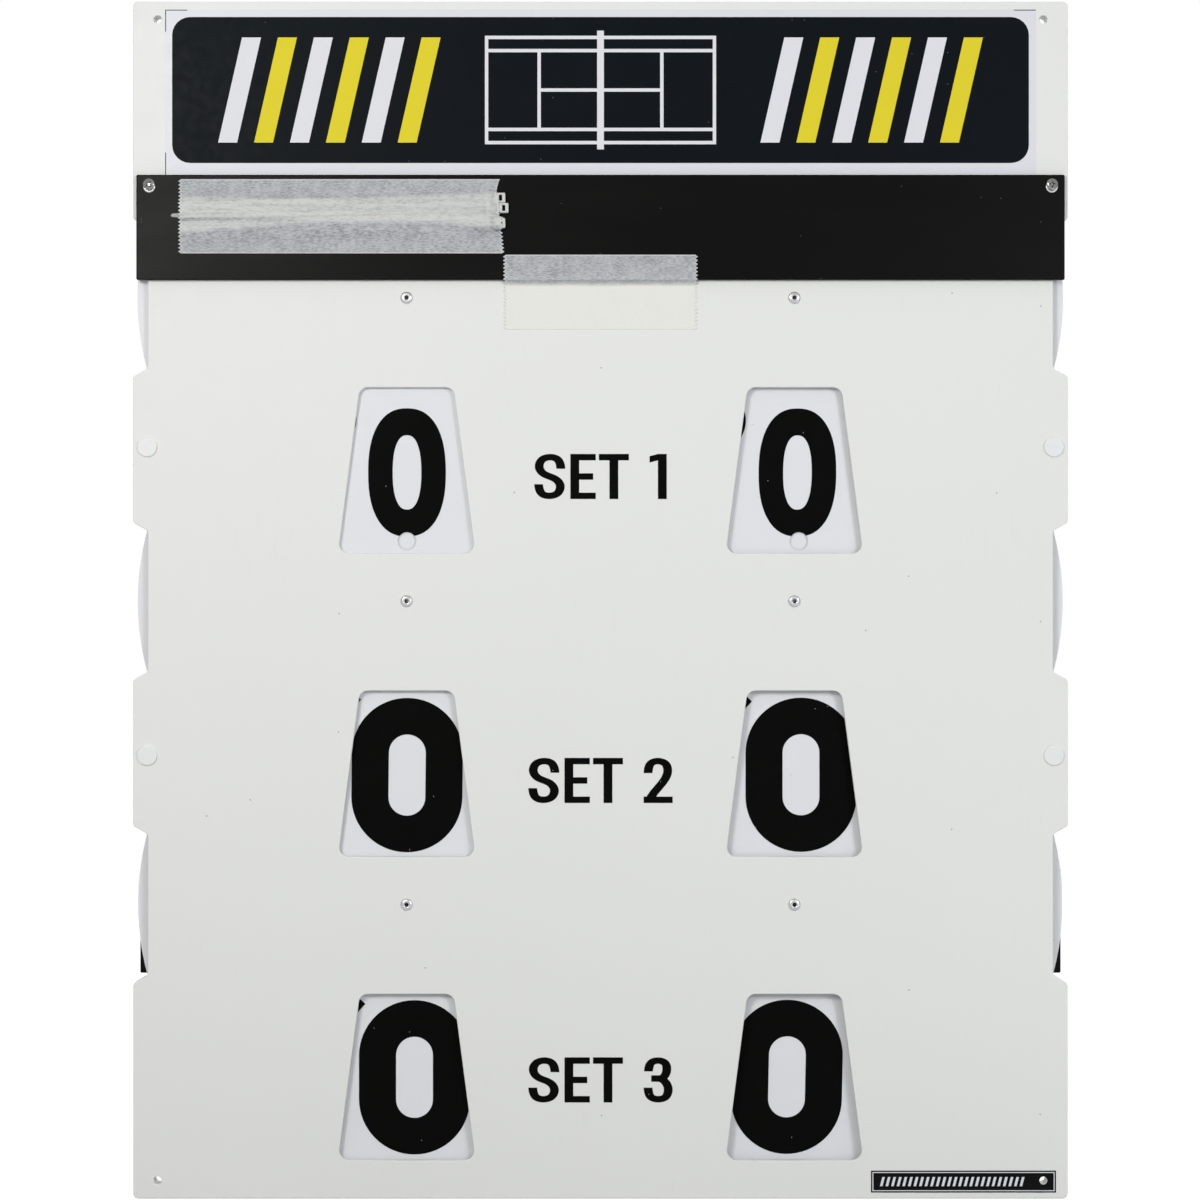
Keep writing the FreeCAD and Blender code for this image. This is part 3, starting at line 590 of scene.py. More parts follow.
def inset(loop: Loop, depth: float) -> Loop:
    """Move a loop towards its left side, with mitred corners."""
    moved = []
    for index, (x, z) in enumerate(loop):
        last, after = Vector(loop[index - 1]), Vector(loop[(index + 1) % len(loop)])
        into = (Vector((x, z)) - last).normalized()
        out = (after - Vector((x, z))).normalized()
        reach = depth / max(SHARPEST_MITRE, 1.0 + into.dot(out))
        moved.append((x - (into.y + out.y) * reach, z + (into.x + out.x) * reach))
    return moved


def add_prism(work: bmesh.types.BMesh, loops: list[Loop], front: float, back: float, ease: float) -> None:
    """Add a flat sheet with eased edges.

    Args:
        work: the mesh that takes it.
        loops: outline and holes, each with the material on its left as seen from the front.
        front: depth of its front face.
        back: depth of its back face.
        ease: size of the eased edge.
    """
    turns = [math.pi / 2 * step / EASE_STEPS for step in range(EASE_STEPS + 1)]
    rounding = [(ease * (1.0 - math.cos(turn)), ease * (1.0 - math.sin(turn))) for turn in turns]
    steps = [(front + depth, move) for depth, move in rounding]
    steps += [(back - depth, move) for depth, move in reversed(rounding)]
    caps = ([], [])
    for loop in loops:
        rings = [[work.verts.new((x, depth, z)) for x, z in inset(loop, move)] for depth, move in steps]
        join_rings(work, rings)
        caps[0].append(rings[0])
        caps[1].append(rings[-1])
    for cap in caps:
        verts = [vert for ring in cap for vert in ring]
        flat = [[Vector((vert.co.x, vert.co.z, 0.0)) for vert in ring] for ring in cap]
        for corners in geometry.tessellate_polygon(flat):
            work.faces.new([verts[corner] for corner in corners])


def rounded(low: Point, high: Point, radius: float, steps: int = 6) -> Loop:
    """Rectangle with round corners, its inside on the left.

    Args:
        low: lower left corner.
        high: upper right corner.
        radius: corner radius.
        steps: straight pieces in each corner.

    Returns:
        The loop's points.
    """
    centres = ((high[0] - radius, high[1] - radius), (low[0] + radius, high[1] - radius),
               (low[0] + radius, low[1] + radius), (high[0] - radius, low[1] + radius))
    loop = []
    for corner, (x, z) in enumerate(centres):
        for step in range(steps + 1):
            angle = math.pi / 2 * (corner + step / steps)
            loop.append((x + radius * math.cos(angle), z + radius * math.sin(angle)))
    return loop


def bar(low: Point, high: Point, lean: float = 0.0) -> Loop:
    """Upright bar whose top leans to the right by a given length, its inside on the left."""
    return [low, (high[0], low[1]), (high[0] + lean, high[1]), (low[0] + lean, high[1])]


def lathe(name: str, profile: list[Point], steps: int) -> bpy.types.Object:
    """Turn a closed profile round the Y axis.

    Args:
        name: the object's name.
        profile: pairs of radius and depth, closed from the last to the first.
        steps: flat pieces round the turn.

    Returns:
        The turned object, a closed ring.
    """
    work = bmesh.new()
    rings = []
    for step in range(steps):
        angle = 2 * math.pi * step / steps
        rings.append([work.verts.new((r * math.cos(angle), y, r * math.sin(angle))) for r, y in profile])
    join_rings(work, rings + rings[:1])
    for face in work.faces:
        face.smooth = True
    return object_from(name, work)


# Geometry Nodes trees

class NodeRepeat:
    """Geometry Nodes tree that sets copies of a unit; its inputs are named and set by their identifiers."""

    def __init__(self, name: str) -> None:
        """Start the tree with its geometry sockets and the inputs that every repeat has."""
        self.tree = bpy.data.node_groups.new(name, "GeometryNodeTree")
        self.keys: dict[str, str] = {}
        self.add_input("Geometry", "NodeSocketGeometry")
        self.add_input("Unit", "NodeSocketObject")
        self.add_input("Finish", "NodeSocketMaterial")
        self.tree.interface.new_socket(name="Geometry", in_out="OUTPUT", socket_type="NodeSocketGeometry")
        self.start: bpy.types.Node | None = None

    def add_input(self, name: str, kind: str) -> None:
        """Add a named input and keep its identifier."""
        socket = self.tree.interface.new_socket(name=name, in_out="INPUT", socket_type=kind)
        self.keys[name] = socket.identifier

    def node(self, kind: str, inputs: dict[str | int, Socket]) -> bpy.types.Node:
        """Add a node and link its inputs."""
        made = self.tree.nodes.new(kind)
        for name, socket in inputs.items():
            self.tree.links.new(socket, made.inputs[name])
        return made

    def given(self, name: str) -> Socket:
        """The tree's own input of that name."""
        if self.start is None:
            self.start = self.tree.nodes.new("NodeGroupInput")
        return self.start.outputs[name]

    def close(self, points: Socket, turn: Socket) -> None:
        """Set the unit on the points, make the copies real and give them their finish.

        Args:
            points: where the copies stand.
            turn: how each copy is turned.
        """
        unit = self.node("GeometryNodeObjectInfo", {"Object": self.given("Unit")}).outputs["Geometry"]
        copies = self.node("GeometryNodeInstanceOnPoints",
                           {"Points": points, "Instance": unit, "Rotation": turn}).outputs[0]
        real = self.node("GeometryNodeRealizeInstances", {0: copies}).outputs[0]
        dressed = self.node("GeometryNodeSetMaterial", {"Geometry": real, "Material": self.given("Finish")})
        self.node("NodeGroupOutput", {0: dressed.outputs[0]})

    def grow(self, name: str, points: list[Vector], unit: bpy.types.Object,
             finish: bpy.types.Material, **values: object) -> bpy.types.Object:
        """Run the tree once and keep its result as a plain mesh.

        Args:
            name: the finished object's name.
            points: vertices of the mesh that the tree starts from.
            unit: the object that is repeated; it is used up.
            finish: what the copies wear.
            values: the tree's other inputs, with spaces in their names written as underscores.

        Returns:
            The finished object, at the origin and with no modifier.
        """
        seed = bpy.data.meshes.new(f"{name}_points")
        seed.from_pydata([tuple(point) for point in points], [], [])
        carrier = add_object(f"{name}_carrier", seed)
        modifier = carrier.modifiers.new("repeat", "NODES")
        modifier.node_group = self.tree
        settings = {"Unit": unit, "Finish": finish}
        settings.update({key.replace("_", " "): value for key, value in values.items()})
        for key, value in settings.items():
            modifier[self.keys[key]] = value
        ready = carrier.evaluated_get(bpy.context.evaluated_depsgraph_get())
        mesh = bpy.data.meshes.new_from_object(ready)
        mesh.name = name
        bpy.data.objects.remove(carrier)
        bpy.data.objects.remove(unit)
        return add_object(name, mesh)


class ScatterTree(NodeRepeat):
    """Sets a unit on given points, each copy turned by chance round the depth axis."""

    def __init__(self) -> None:
        """Build the tree, with the largest turn and the seed as inputs."""
        super().__init__("set_on_points")
        self.add_input("Largest Turn", "NodeSocketFloat")
        self.add_input("Seed", "NodeSocketInt")
        chance = self.tree.nodes.new("FunctionNodeRandomValue")
        chance.data_type = "FLOAT"
        sockets = {socket.identifier: socket for socket in chance.inputs}
        self.tree.links.new(self.given("Largest Turn"), sockets["Max_001"])
        self.tree.links.new(self.given("Seed"), sockets["Seed"])
        turn = next(socket for socket in chance.outputs if socket.identifier == "Value_001")
        self.close(self.given("Geometry"), self.node("ShaderNodeCombineXYZ", {"Y": turn}).outputs[0])


class RowTree(NodeRepeat):
    """Sets a unit along a straight row, each copy turned alike."""

    def __init__(self) -> None:
        """Build the tree, with the row's count, start and step and the copies' turn as inputs."""
        super().__init__("set_in_a_row")
        self.add_input("Count", "NodeSocketInt")
        for name in ("Start", "Step", "Turn"):
            self.add_input(name, "NodeSocketVector")
        line = self.node("GeometryNodeMeshLine", {"Count": self.given("Count"),
                                                  "Start Location": self.given("Start"),
                                                  "Offset": self.given("Step")})
        self.close(line.outputs[0], self.given("Turn"))


# Sub-assemblies

@dataclass(frozen=True)
class Faces:
    """Depths of the front faces that pieces lie on, and the level of the name strip's lower edge."""

    panel: float
    strip: float
    strip_bottom: float


FACES = Faces(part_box("front_panel")[0].y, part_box("name_strip")[0].y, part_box("name_strip")[0].z)


@dataclass
class OnNode:
    """A sub-assembly that takes its place from a CAD node."""

    node: str
    low: Vector = field(init=False)
    high: Vector = field(init=False)

    def __post_init__(self) -> None:
        """Read the node's lowest and highest corners."""
        self.low, self.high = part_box(self.node)


@dataclass
class EasedSheet(OnNode):
    """A flat sheet of the board, cut to its CAD outline, with its sawn edges eased."""

    slot: str
    ease: float = 0.5 * MM
    tolerance: float = 0.002 * MM

    def face_loops(self) -> list[Loop]:
        """Outline and holes of the CAD sheet's front face, each with the material on its left."""
        mesh = frame["nodes"][self.node].data
        edges = set()
        for polygon in mesh.polygons:
            corners = [mesh.vertices[index].co for index in polygon.vertices]
            if all(abs(corner.y - self.low.y) < self.tolerance for corner in corners):
                keys = [(round(corner.x, PLACE_DIGITS), round(corner.z, PLACE_DIGITS)) for corner in corners]
                edges.update(zip(keys, keys[1:] + keys[:1]))
        following = {start: end for start, end in edges if (end, start) not in edges}
        loops = []
        while following:
            start = min(following)
            loop = [start]
            place = following.pop(start)
            while place != start:
                loop.append(place)
                place = following.pop(place)
            loops.append(self.thinned(loop))
        return loops

    def thinned(self, loop: Loop) -> Loop:
        """Leave out points that lie on a straight run."""
        kept = []
        for index, point in enumerate(loop):
            last, after = Vector(loop[index - 1]), Vector(loop[(index + 1) % len(loop)])
            into, out = Vector(point) - last, after - Vector(point)
            if abs(into.normalized().cross(out.normalized())) > STRAIGHT:
                kept.append(point)
        return kept

    def build(self, finishes: Finishes) -> None:
        """Make the sheet and let it stand for its CAD node."""
        work = bmesh.new()
        add_prism(work, self.face_loops(), self.low.y, self.high.y, self.ease)
        settle(object_from(f"{self.node}_eased", work), finishes.by_slot[self.slot], self.slot, self.node)


@dataclass
class Rivets:
    """The six blind rivets that the discs turn on."""

    slot: str = "rivet_aluminium"
    flange_radius: float = 3.0 * MM
    shank_radius: float = 1.6 * MM
    bore_radius: float = 1.0 * MM
    bore_drop: float = 0.3 * MM
    lip_radius: float = 1.1 * MM
    lip_drop: float = 0.08 * MM
    crown_radius: float = 1.25 * MM
    dome_rise: float = 1.0 * MM
    dome_steps: int = 6
    rim_rise: float = 0.18 * MM
    bulb_radius: float = 2.7 * MM
    bulb_length: float = 3.2 * MM
    bulb_power: float = 0.6
    bulb_steps: int = 8
    steps: int = 40
    grip_digits: int = 5

    def profile(self, grip: float) -> list[Point]:
        """Section of a rivet, from the mouth of its bore over the flange to its set tail.

        Args:
            grip: depth from the flange's seat to the tail.

        Returns:
            Pairs of radius and depth, with the seat at depth 0.
        """
        rise, bulb = self.dome_rise - self.rim_rise, self.bulb_radius - self.shank_radius
        section = [(self.bore_radius, self.bore_drop - self.dome_rise),
                   (self.lip_radius, self.lip_drop - self.dome_rise)]
        for step in range(1, self.dome_steps + 1):
            turn = math.pi / 2 * step / self.dome_steps
            radius = self.crown_radius + (self.flange_radius - self.crown_radius) * math.sin(turn)
            section.append((radius, -self.rim_rise - rise * math.cos(turn)))
        section += [(self.flange_radius, 0.0), (self.shank_radius, 0.0)]
        for step in range(self.bulb_steps + 1):
            turn = math.pi * step / self.bulb_steps
            radius = self.shank_radius + bulb * math.sin(turn) ** self.bulb_power
            section.append((radius, grip + self.bulb_length / 2 * (1 - math.cos(turn))))
        return section + [(self.bore_radius, grip + self.bulb_length)]

    def build(self, finishes: Finishes, scatter: ScatterTree) -> None:
        """Set the rivets of each tail depth on their pivots."""
        grips: dict[float, list[str]] = {}
        for name in sorted(frame["nodes"]):
            if name.startswith("pivot_rivet_"):
                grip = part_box(name)[1].y - FACES.panel - self.bulb_length
                grips.setdefault(round(grip, self.grip_digits), []).append(name)
        material = finishes.by_slot[self.slot]
        for count, (grip, group) in enumerate(sorted(grips.items()), start=1):
            points = []
            for name in group:
                low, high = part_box(name)
                points.append(Vector(((low.x + high.x) / 2, FACES.panel, (low.z + high.z) / 2)))
            unit = lathe("rivet_unit", self.profile(grip), self.steps)
            piece = scatter.grow(f"rivets_{count}", points, unit, material, Largest_Turn=math.tau, Seed=count)
            settle(piece, material, self.slot, *group)


@dataclass
class StripScrews(OnNode):
    """The name strip's two cross-recess screws, and the loose cup washers that hang on them."""

    node: str = "name_strip_screws"
    slot: str = "zinc_steel"
    seed: int = 5
    head_radius: float = 2.9 * MM
    head_ease: float = 0.2 * MM
    dome: float = 0.85 * MM
    dome_power: float = 2.2
    dome_shares: tuple[float, ...] = (1.0, 0.96, 0.88, 0.76)
    neck_radius: float = 1.0 * MM
    shank_radius: float = 1.4 * MM
    recess_reach: float = 1.6 * MM
    recess_half: float = 0.42 * MM
    recess_depth: float = 1.2 * MM
    recess_ease: float = 0.12 * MM
    recess_floor_share: float = 0.45
    corner_steps: int = 4
    washer_slot: str = "rivet_aluminium"
    washer_seed: int = 7
    washer_bore: float = 2.0 * MM
    washer_radius: float = 3.1 * MM
    washer_height: float = 0.45 * MM
    washer_steps: int = 48
    # Share of the way from the bore to the rim, and of the height
    washer_section: Stops = ((0.0, 0.0), (0.0, 0.7), (1 / 11, 1.0), (0.4, 1.0), (0.75, 0.75), (1.0, 0.25),
                             (1.0, 0.0))

    def angles(self) -> list[float]:
        """Turns at which the rings have points, with the corners of the cross among them."""
        corner = math.atan2(self.recess_half, self.recess_reach)
        rest = math.pi / 4 - corner
        first = [0.0] + [corner + rest * step / self.corner_steps for step in range(self.corner_steps)]
        quarter = first + [math.pi / 2 - turn for turn in reversed(first[1:])]
        quarter.insert(len(first), math.pi / 4)
        return [turn + quadrant * math.pi / 2 for quadrant in range(4) for turn in quarter]

    def recess(self, turn: float) -> float:
        """Reach of the cross from the screw's axis at a turn."""
        across, up = max(TINY, abs(math.cos(turn))), max(TINY, abs(math.sin(turn)))
        level = min(self.recess_reach / across, self.recess_half / up)
        return max(level, min(self.recess_half / across, self.recess_reach / up))

    def dome_point(self, radius: float) -> Point:
        """Radius and depth of the dome at a distance from the axis."""
        return radius, self.low.y + self.dome * (radius / self.head_radius) ** self.dome_power

    def screw(self, seat: float) -> bpy.types.Object:
        """Loft one screw round the Y axis.

        Args:
            seat: depth of its head's underside.

        Returns:
            The screw, a closed mesh.
        """
        turns = self.angles()
        side = [(self.shank_radius, self.high.y), (self.shank_radius, FACES.strip),
                (self.neck_radius, FACES.strip), (self.neck_radius, seat),
                (self.head_radius - self.head_ease, seat), (self.head_radius, seat - self.head_ease)]
        side += [self.dome_point(self.head_radius * share) for share in self.dome_shares]
        sections = [[place] * len(turns) for place in side]
        edge = [self.recess(turn) for turn in turns]
        sections.append([self.dome_point(reach + self.recess_ease) for reach in edge])
        sections.append([(reach, self.dome_point(reach)[1] + self.recess_ease) for reach in edge])
        sections.append([(reach * self.recess_floor_share, self.low.y + self.recess_depth) for reach in edge])
        work = bmesh.new()
        rings = []
        for section in sections:
            places = [(r * math.cos(turn), y, r * math.sin(turn)) for turn, (r, y) in zip(turns, section)]
            rings.append([work.verts.new(place) for place in places])
        join_rings(work, rings)
        work.faces.new(rings[0])
        work.faces.new(rings[-1])
        return object_from("screw_unit", work)

    def build(self, finishes: Finishes, scatter: ScatterTree) -> None:
        """Make the screws where their CAD node is, and hang the washers on them."""
        radius, level = (self.high.z - self.low.z) / 2, (self.low.z + self.high.z) / 2
        places = [Vector((x, 0.0, level)) for x in (self.low.x + radius, self.high.x - radius)]
        material = finishes.by_slot[self.slot]
        unit = self.screw(FACES.strip - self.washer_height)
        piece = scatter.grow("strip_screws", places, unit, material, Largest_Turn=math.pi / 2, Seed=self.seed)
        settle(piece, material, self.slot, self.node)

        wide = self.washer_radius - self.washer_bore
        profile = [(self.washer_bore + wide * out, -self.washer_height * up) for out, up in self.washer_section]
        hang = Vector((0.0, FACES.strip, self.neck_radius - self.washer_bore))
        material = finishes.by_slot[self.washer_slot]
        unit = lathe("washer_unit", profile, self.washer_steps)
        piece = scatter.grow("strip_cup_washers", [place + hang for place in places], unit, material,
                             Largest_Turn=math.tau, Seed=self.washer_seed)
        settle(piece, material, self.washer_slot)


@dataclass
class Print(OnNode):
    """Ink on a film: flat pieces in thin layers in front of the film's CAD node."""

    ink_film: float = 0.03 * MM
    gap: float = 0.01 * MM

    def layer(self, step: int) -> tuple[float, float]:
        """Front and back depth of a print layer, counted up from the film."""
        back = self.low.y - self.gap - step * (self.ink_film + self.gap)
        return back - self.ink_film, back

    def flat_piece(self, name: str, loops: list[Loop], depths: tuple[float, float]) -> bpy.types.Object:
        """Thin flat piece from simple outlines between two depths."""
        work = bmesh.new()
        for loop in loops:
            add_prism(work, [loop], *depths, self.ink_film / 4)
        return object_from(name, work)

    def bar_row(self, name: str, size: Triple, start: Vector, step: float, count: int,
                rows: RowTree, material: bpy.types.Material) -> bpy.types.Object:
        """Print a row of slanted bars.

        Args:
            name: the row's name.
            size: width, height and lean of a bar.
            start: middle of the first bar, at its back.
            step: distance from one bar to the next.
            count: number of bars.
            rows: the tree that sets them.
            material: the ink.

        Returns:
            The row as one piece.
        """
        wide, tall, lean = size
        outline = bar((-(wide + lean) / 2, -tall / 2), ((wide - lean) / 2, tall / 2), lean)
        unit = self.flat_piece("bar_unit", [outline], (-self.ink_film, 0.0))
        return rows.grow(name, [], unit, material, Count=count, Start=start, Step=Vector((step, 0.0, 0.0)),
                         Turn=Vector())


@dataclass
class HeaderPrint(Print):
    """The film's printed band: a court plan between two rows of slanted bars, and cutting marks."""

    node: str = "header_sticker"
    side_margin: float = 3.6 * MM
    top_margin: float = 3.8 * MM
    bottom_margin: float = 5.9 * MM
    band_corner: float = 9.0 * MM
    court_height_share: float = 0.72
    court_ratio: float = 78 / 36
    singles_share: float = 27 / 36
    service_share: float = 42 / 78
    line: float = 1.7 * MM
    net_overhang: float = 3.4 * MM
    bar_count: int = 6
    bar_width: float = 9.5 * MM
    bar_pitch: float = 18.0 * MM
    bar_lean: float = 12.0 * MM
    mark_length: float = 11.0 * MM
    mark_width: float = 0.4 * MM
    mark_inset: float = 0.15 * MM

    def marks(self) -> list[Loop]:
        """Corner marks that the film was cut to."""
        left, right = self.low.x + self.mark_inset, self.high.x - self.mark_inset
        bottom, top = self.low.z + self.mark_inset, self.high.z - self.mark_inset
        long, thin = self.mark_length, self.mark_width
        return [bar((left, top - thin), (left + long, top)), bar((right - long, top - thin), (right, top)),
                bar((left, top - long), (left + thin, top - thin)),
                bar((left, bottom), (left + thin, bottom + long))]

    def court_lines(self, centre: Point, height: float) -> tuple[list[Loop], list[Loop]]:
        """Line plan of a court that lies along the band.

        Args:
            centre: middle of the plan.
            height: its width across the band.

        Returns:
            One bar for each line along the band, and one for each line across it.
        """
        x, z = centre
        half, tall, thin = height * self.court_ratio / 2, height / 2, self.line / 2
        singles, service = tall * self.singles_share, half * self.service_share
        net = tall + self.net_overhang
        along = [bar((x - reach, z + level - thin), (x + reach, z + level + thin)) for reach, level in
                 ((half, -tall), (half, -singles), (half, singles), (half, tall), (service, 0.0))]
        across = [bar((x + place - wide, z - reach), (x + place + wide, z + reach)) for place, reach, wide in
                  ((-half, tall + thin, thin), (half, tall + thin, thin), (-service, singles, thin),
                   (service, singles, thin), (0.0, net, self.line))]
        return along, across

    def build(self, finishes: Finishes, rows: RowTree) -> None:
        """Print the band, the court plan, the bars and the cutting marks."""
        left, right = self.low.x + self.side_margin, self.high.x - self.side_margin
        bottom, top = self.low.z + self.bottom_margin, self.high.z - self.top_margin
        band = [rounded((left, bottom), (right, top), self.band_corner)]
        centre = ((left + right) / 2, (bottom + top) / 2)
        height = (top - bottom) * self.court_height_share
        along, across = self.court_lines(centre, height)
        for name, loops, step, ink, slot in (
                ("header_band", band, 0, Ink.DARK, "label_film"),
                ("header_cutting_marks", self.marks(), 0, Ink.DARK, "label_film"),
                ("header_court_sidelines", along, 1, Ink.PALE, "header_film"),
                ("header_court_baselines", across, 2, Ink.PALE, "header_film")):
            settle(self.flat_piece(name, loops, self.layer(step)), finishes.by_ink[ink], slot)

        size = (self.bar_width, height, self.bar_lean)
        reach = height * self.court_ratio / 2
        for side, sign in (("left", -1), ("right", 1)):
            middle = centre[0] + sign * ((right - left) / 4 + reach / 2)
            first = middle - self.bar_pitch * (self.bar_count - 1) / 2
            for turn, ink in enumerate((Ink.PALE, Ink.YELLOW)):
                start = Vector((first + turn * self.bar_pitch, self.layer(1)[1], centre[1]))
                piece = self.bar_row(f"header_bars_{side}_{ink.name.lower()}", size, start, 2 * self.bar_pitch,
                                     self.bar_count // 2, rows, finishes.by_ink[ink])
                settle(piece, finishes.by_ink[ink], "header_film")


@dataclass
class CornerPrint(Print):
    """The small label's printed border and its row of slanted dashes."""

    node: str = "corner_label"
    slot: str = "label_film"
    border_inset: float = 0.7 * MM
    border: float = 0.45 * MM
    dash_count: int = 26
    dash_width: float = 1.3 * MM
    dash_pitch: float = 2.8 * MM
    dash_share: float = 0.42
    dash_lean: float = 1.2 * MM
    first_dash: float = 5.0 * MM

    def build(self, finishes: Finishes, rows: RowTree) -> None:
        """Print the border and the dashes."""
        pale, thin = finishes.by_ink[Ink.PALE], self.border
        left, right = self.low.x + self.border_inset, self.high.x - self.border_inset
        bottom, top = self.low.z + self.border_inset, self.high.z - self.border_inset
        sides = [bar((left, bottom), (right, bottom + thin)), bar((left, top - thin), (right, top)),
                 bar((left, bottom + thin), (left + thin, top - thin)),
                 bar((right - thin, bottom + thin), (right, top - thin))]
        settle(self.flat_piece("corner_label_border", sides, self.layer(0)), pale, self.slot)

        size = (self.dash_width, (self.high.z - self.low.z) * self.dash_share, self.dash_lean)
        start = Vector((left + self.first_dash, self.layer(0)[1], (self.low.z + self.high.z) / 2))
        piece = self.bar_row("corner_label_dashes", size, start, self.dash_pitch, self.dash_count, rows, pale)
        settle(piece, pale, self.slot)


@dataclass
class CableTie(OnNode):
    """A flat tie: toothed strap, tapered tip and slotted head, where its CAD node lies."""

    slot: str = "tie_nylon"
    tilt: float = math.radians(1.2)
    strap_width: float = 2.5 * MM
    strap_height: float = 1.1 * MM
    strap_ease: float = 0.3 * MM
    strap_ease_share: float = 0.4
    strap_start: float = 0.2 * MM
    head_length: float = 4.8 * MM
    head_width: float = 5.0 * MM
    head_ease: float = 0.5 * MM
    head_corner: float = 0.7 * MM
    slot_length: float = 1.5 * MM
    slot_width: float = 2.9 * MM
    slot_corner: float = 0.2 * MM
    slot_corner_steps: int = 2
    tip_length: float = 5.0 * MM
    tip_share: float = 0.70
    tip_round: float = 0.6 * MM
    # Share of the rounding's length that is left, and of the tip's width there
    tip_stops: Stops = ((1.0, 1.0), (0.25, 0.75), (0.0, 0.45))
    thin_lengths: float = 2.0
    tooth_pitch: float = 1.1 * MM
    tooth_run: float = 0.6 * MM
    tooth_rise: float = 0.22 * MM
    tooth_crest_share: float = 0.6
    tooth_sink: float = 0.02 * MM
    tooth_margin: float = 9.0 * MM
    head: Point = field(init=False)
    length: float = field(init=False)

    def __post_init__(self) -> None:
        """Take the head's middle and the strap's length from the CAD node."""
        super().__post_init__()
        lean, level = math.sin(self.tilt), math.cos(self.tilt)
        self.head = (self.high.x - (self.head_length * level + self.head_width * lean) / 2,
                     self.high.z - (self.head_width * level + self.head_length * lean) / 2)
        self.length = (self.head[0] - self.low.x) / level

    def at(self, along: float, across: float) -> Point:
        """Place on the board of a point along and across the strap, counted from the head's middle."""
        lean, level = math.sin(self.tilt), math.cos(self.tilt)
        return self.head[0] + along * level - across * lean, self.head[1] + along * lean + across * level

    def line_height(self, x: float) -> float:
        """Height of the strap's middle line at a place across the board."""
        return self.head[1] + (x - self.head[0]) * math.tan(self.tilt)

    def add_strap(self, work: bmesh.types.BMesh) -> None:
        """Add the strap, drawn in towards its tip."""
        start = self.slot_length / 2 + self.strap_start - self.head_length / 2
        stations = [(start, 1.0), (2 * self.tip_length - self.length, 1.0),
                    (self.tip_length - self.length, 1.0)]
        stations += [(left * self.tip_round - self.length, share * self.tip_share)
                     for left, share in self.tip_stops]
        rings = []
        for along, share in stations:
            wide, tall = self.strap_width * share / 2, self.strap_height * (1 + share) / 2
            ease = min(self.strap_ease, self.strap_ease_share * wide)
            section = [(-wide, 0.0), (wide, 0.0), (wide, ease - tall), (wide - ease, -tall),
                       (ease - wide, -tall), (-wide, ease - tall)]
            ring = []
            for across, rise in section:
                x, z = self.at(along, across)
                ring.append(work.verts.new((x, self.high.y + rise, z)))
            rings.append(ring)
        join_rings(work, rings)
        work.faces.new(rings[0])
        work.faces.new(rings[-1])

    def add_head(self, work: bmesh.types.BMesh) -> None:
        """Add the head with its slot."""
        half = (self.head_length / 2, self.head_width / 2)
        slit = (self.slot_length / 2, self.slot_width / 2)
        outline = rounded((-half[0], -half[1]), half, self.head_corner)
        hole = rounded((-slit[0], -slit[1]), slit, self.slot_corner, self.slot_corner_steps)
        loops = [[self.at(*point) for point in loop] for loop in (outline, reversed(hole))]
        add_prism(work, loops, self.low.y, self.high.y, self.head_ease)

    def tooth_unit(self) -> bpy.types.Object:
        """One tooth: a low wedge across the strap."""
        work = bmesh.new()
        run, wide = self.tooth_run / 2, self.strap_width / 2 - 2 * self.strap_ease
        corners = ((-run, -wide), (run, -wide), (run, wide), (-run, wide))
        foot = [work.verts.new((x, 0.0, z)) for x, z in corners]
        top = -run * self.tooth_crest_share
        crest = [work.verts.new((top, -self.tooth_rise, z)) for z in (-wide, wide)]
        for face in ((foot[0], foot[1], crest[0]), (foot[2], foot[3], crest[1]), foot,
                     (foot[1], foot[2], crest[1], crest[0]), (foot[3], foot[0], crest[0], crest[1])):
            work.faces.new(face)
        return object_from("tooth_unit", work)

    def build(self, finishes: Finishes, rows: RowTree) -> None:
        """Make the tie and its teeth."""
        work = bmesh.new()
        self.add_head(work)
        self.add_strap(work)
        material = finishes.by_slot[self.slot]
        piece = object_from(f"{self.node}_strap", work)
        tips = [(vert.co.x - self.low.x) / self.tip_length for vert in piece.data.vertices]
        store_numbers(piece, "thin", [smooth(self.thin_lengths - tip) for tip in tips])
        settle(piece, material, self.slot, self.node)

        first, step = self.at(-self.tooth_margin, 0.0), self.at(-self.tooth_pitch, 0.0)
        depth = self.high.y - self.strap_height + self.tooth_sink
        count = int((self.length - self.tooth_margin - 2 * self.tip_length) / self.tooth_pitch)
        piece = rows.grow(f"{self.node}_teeth", [], self.tooth_unit(), material, Count=count,
                          Start=Vector((first[0], depth, first[1])),
                          Step=Vector((step[0] - self.head[0], 0.0, step[1] - self.head[1])),
                          Turn=Vector((0.0, -self.tilt, 0.0)))
        settle(piece, material, self.slot)


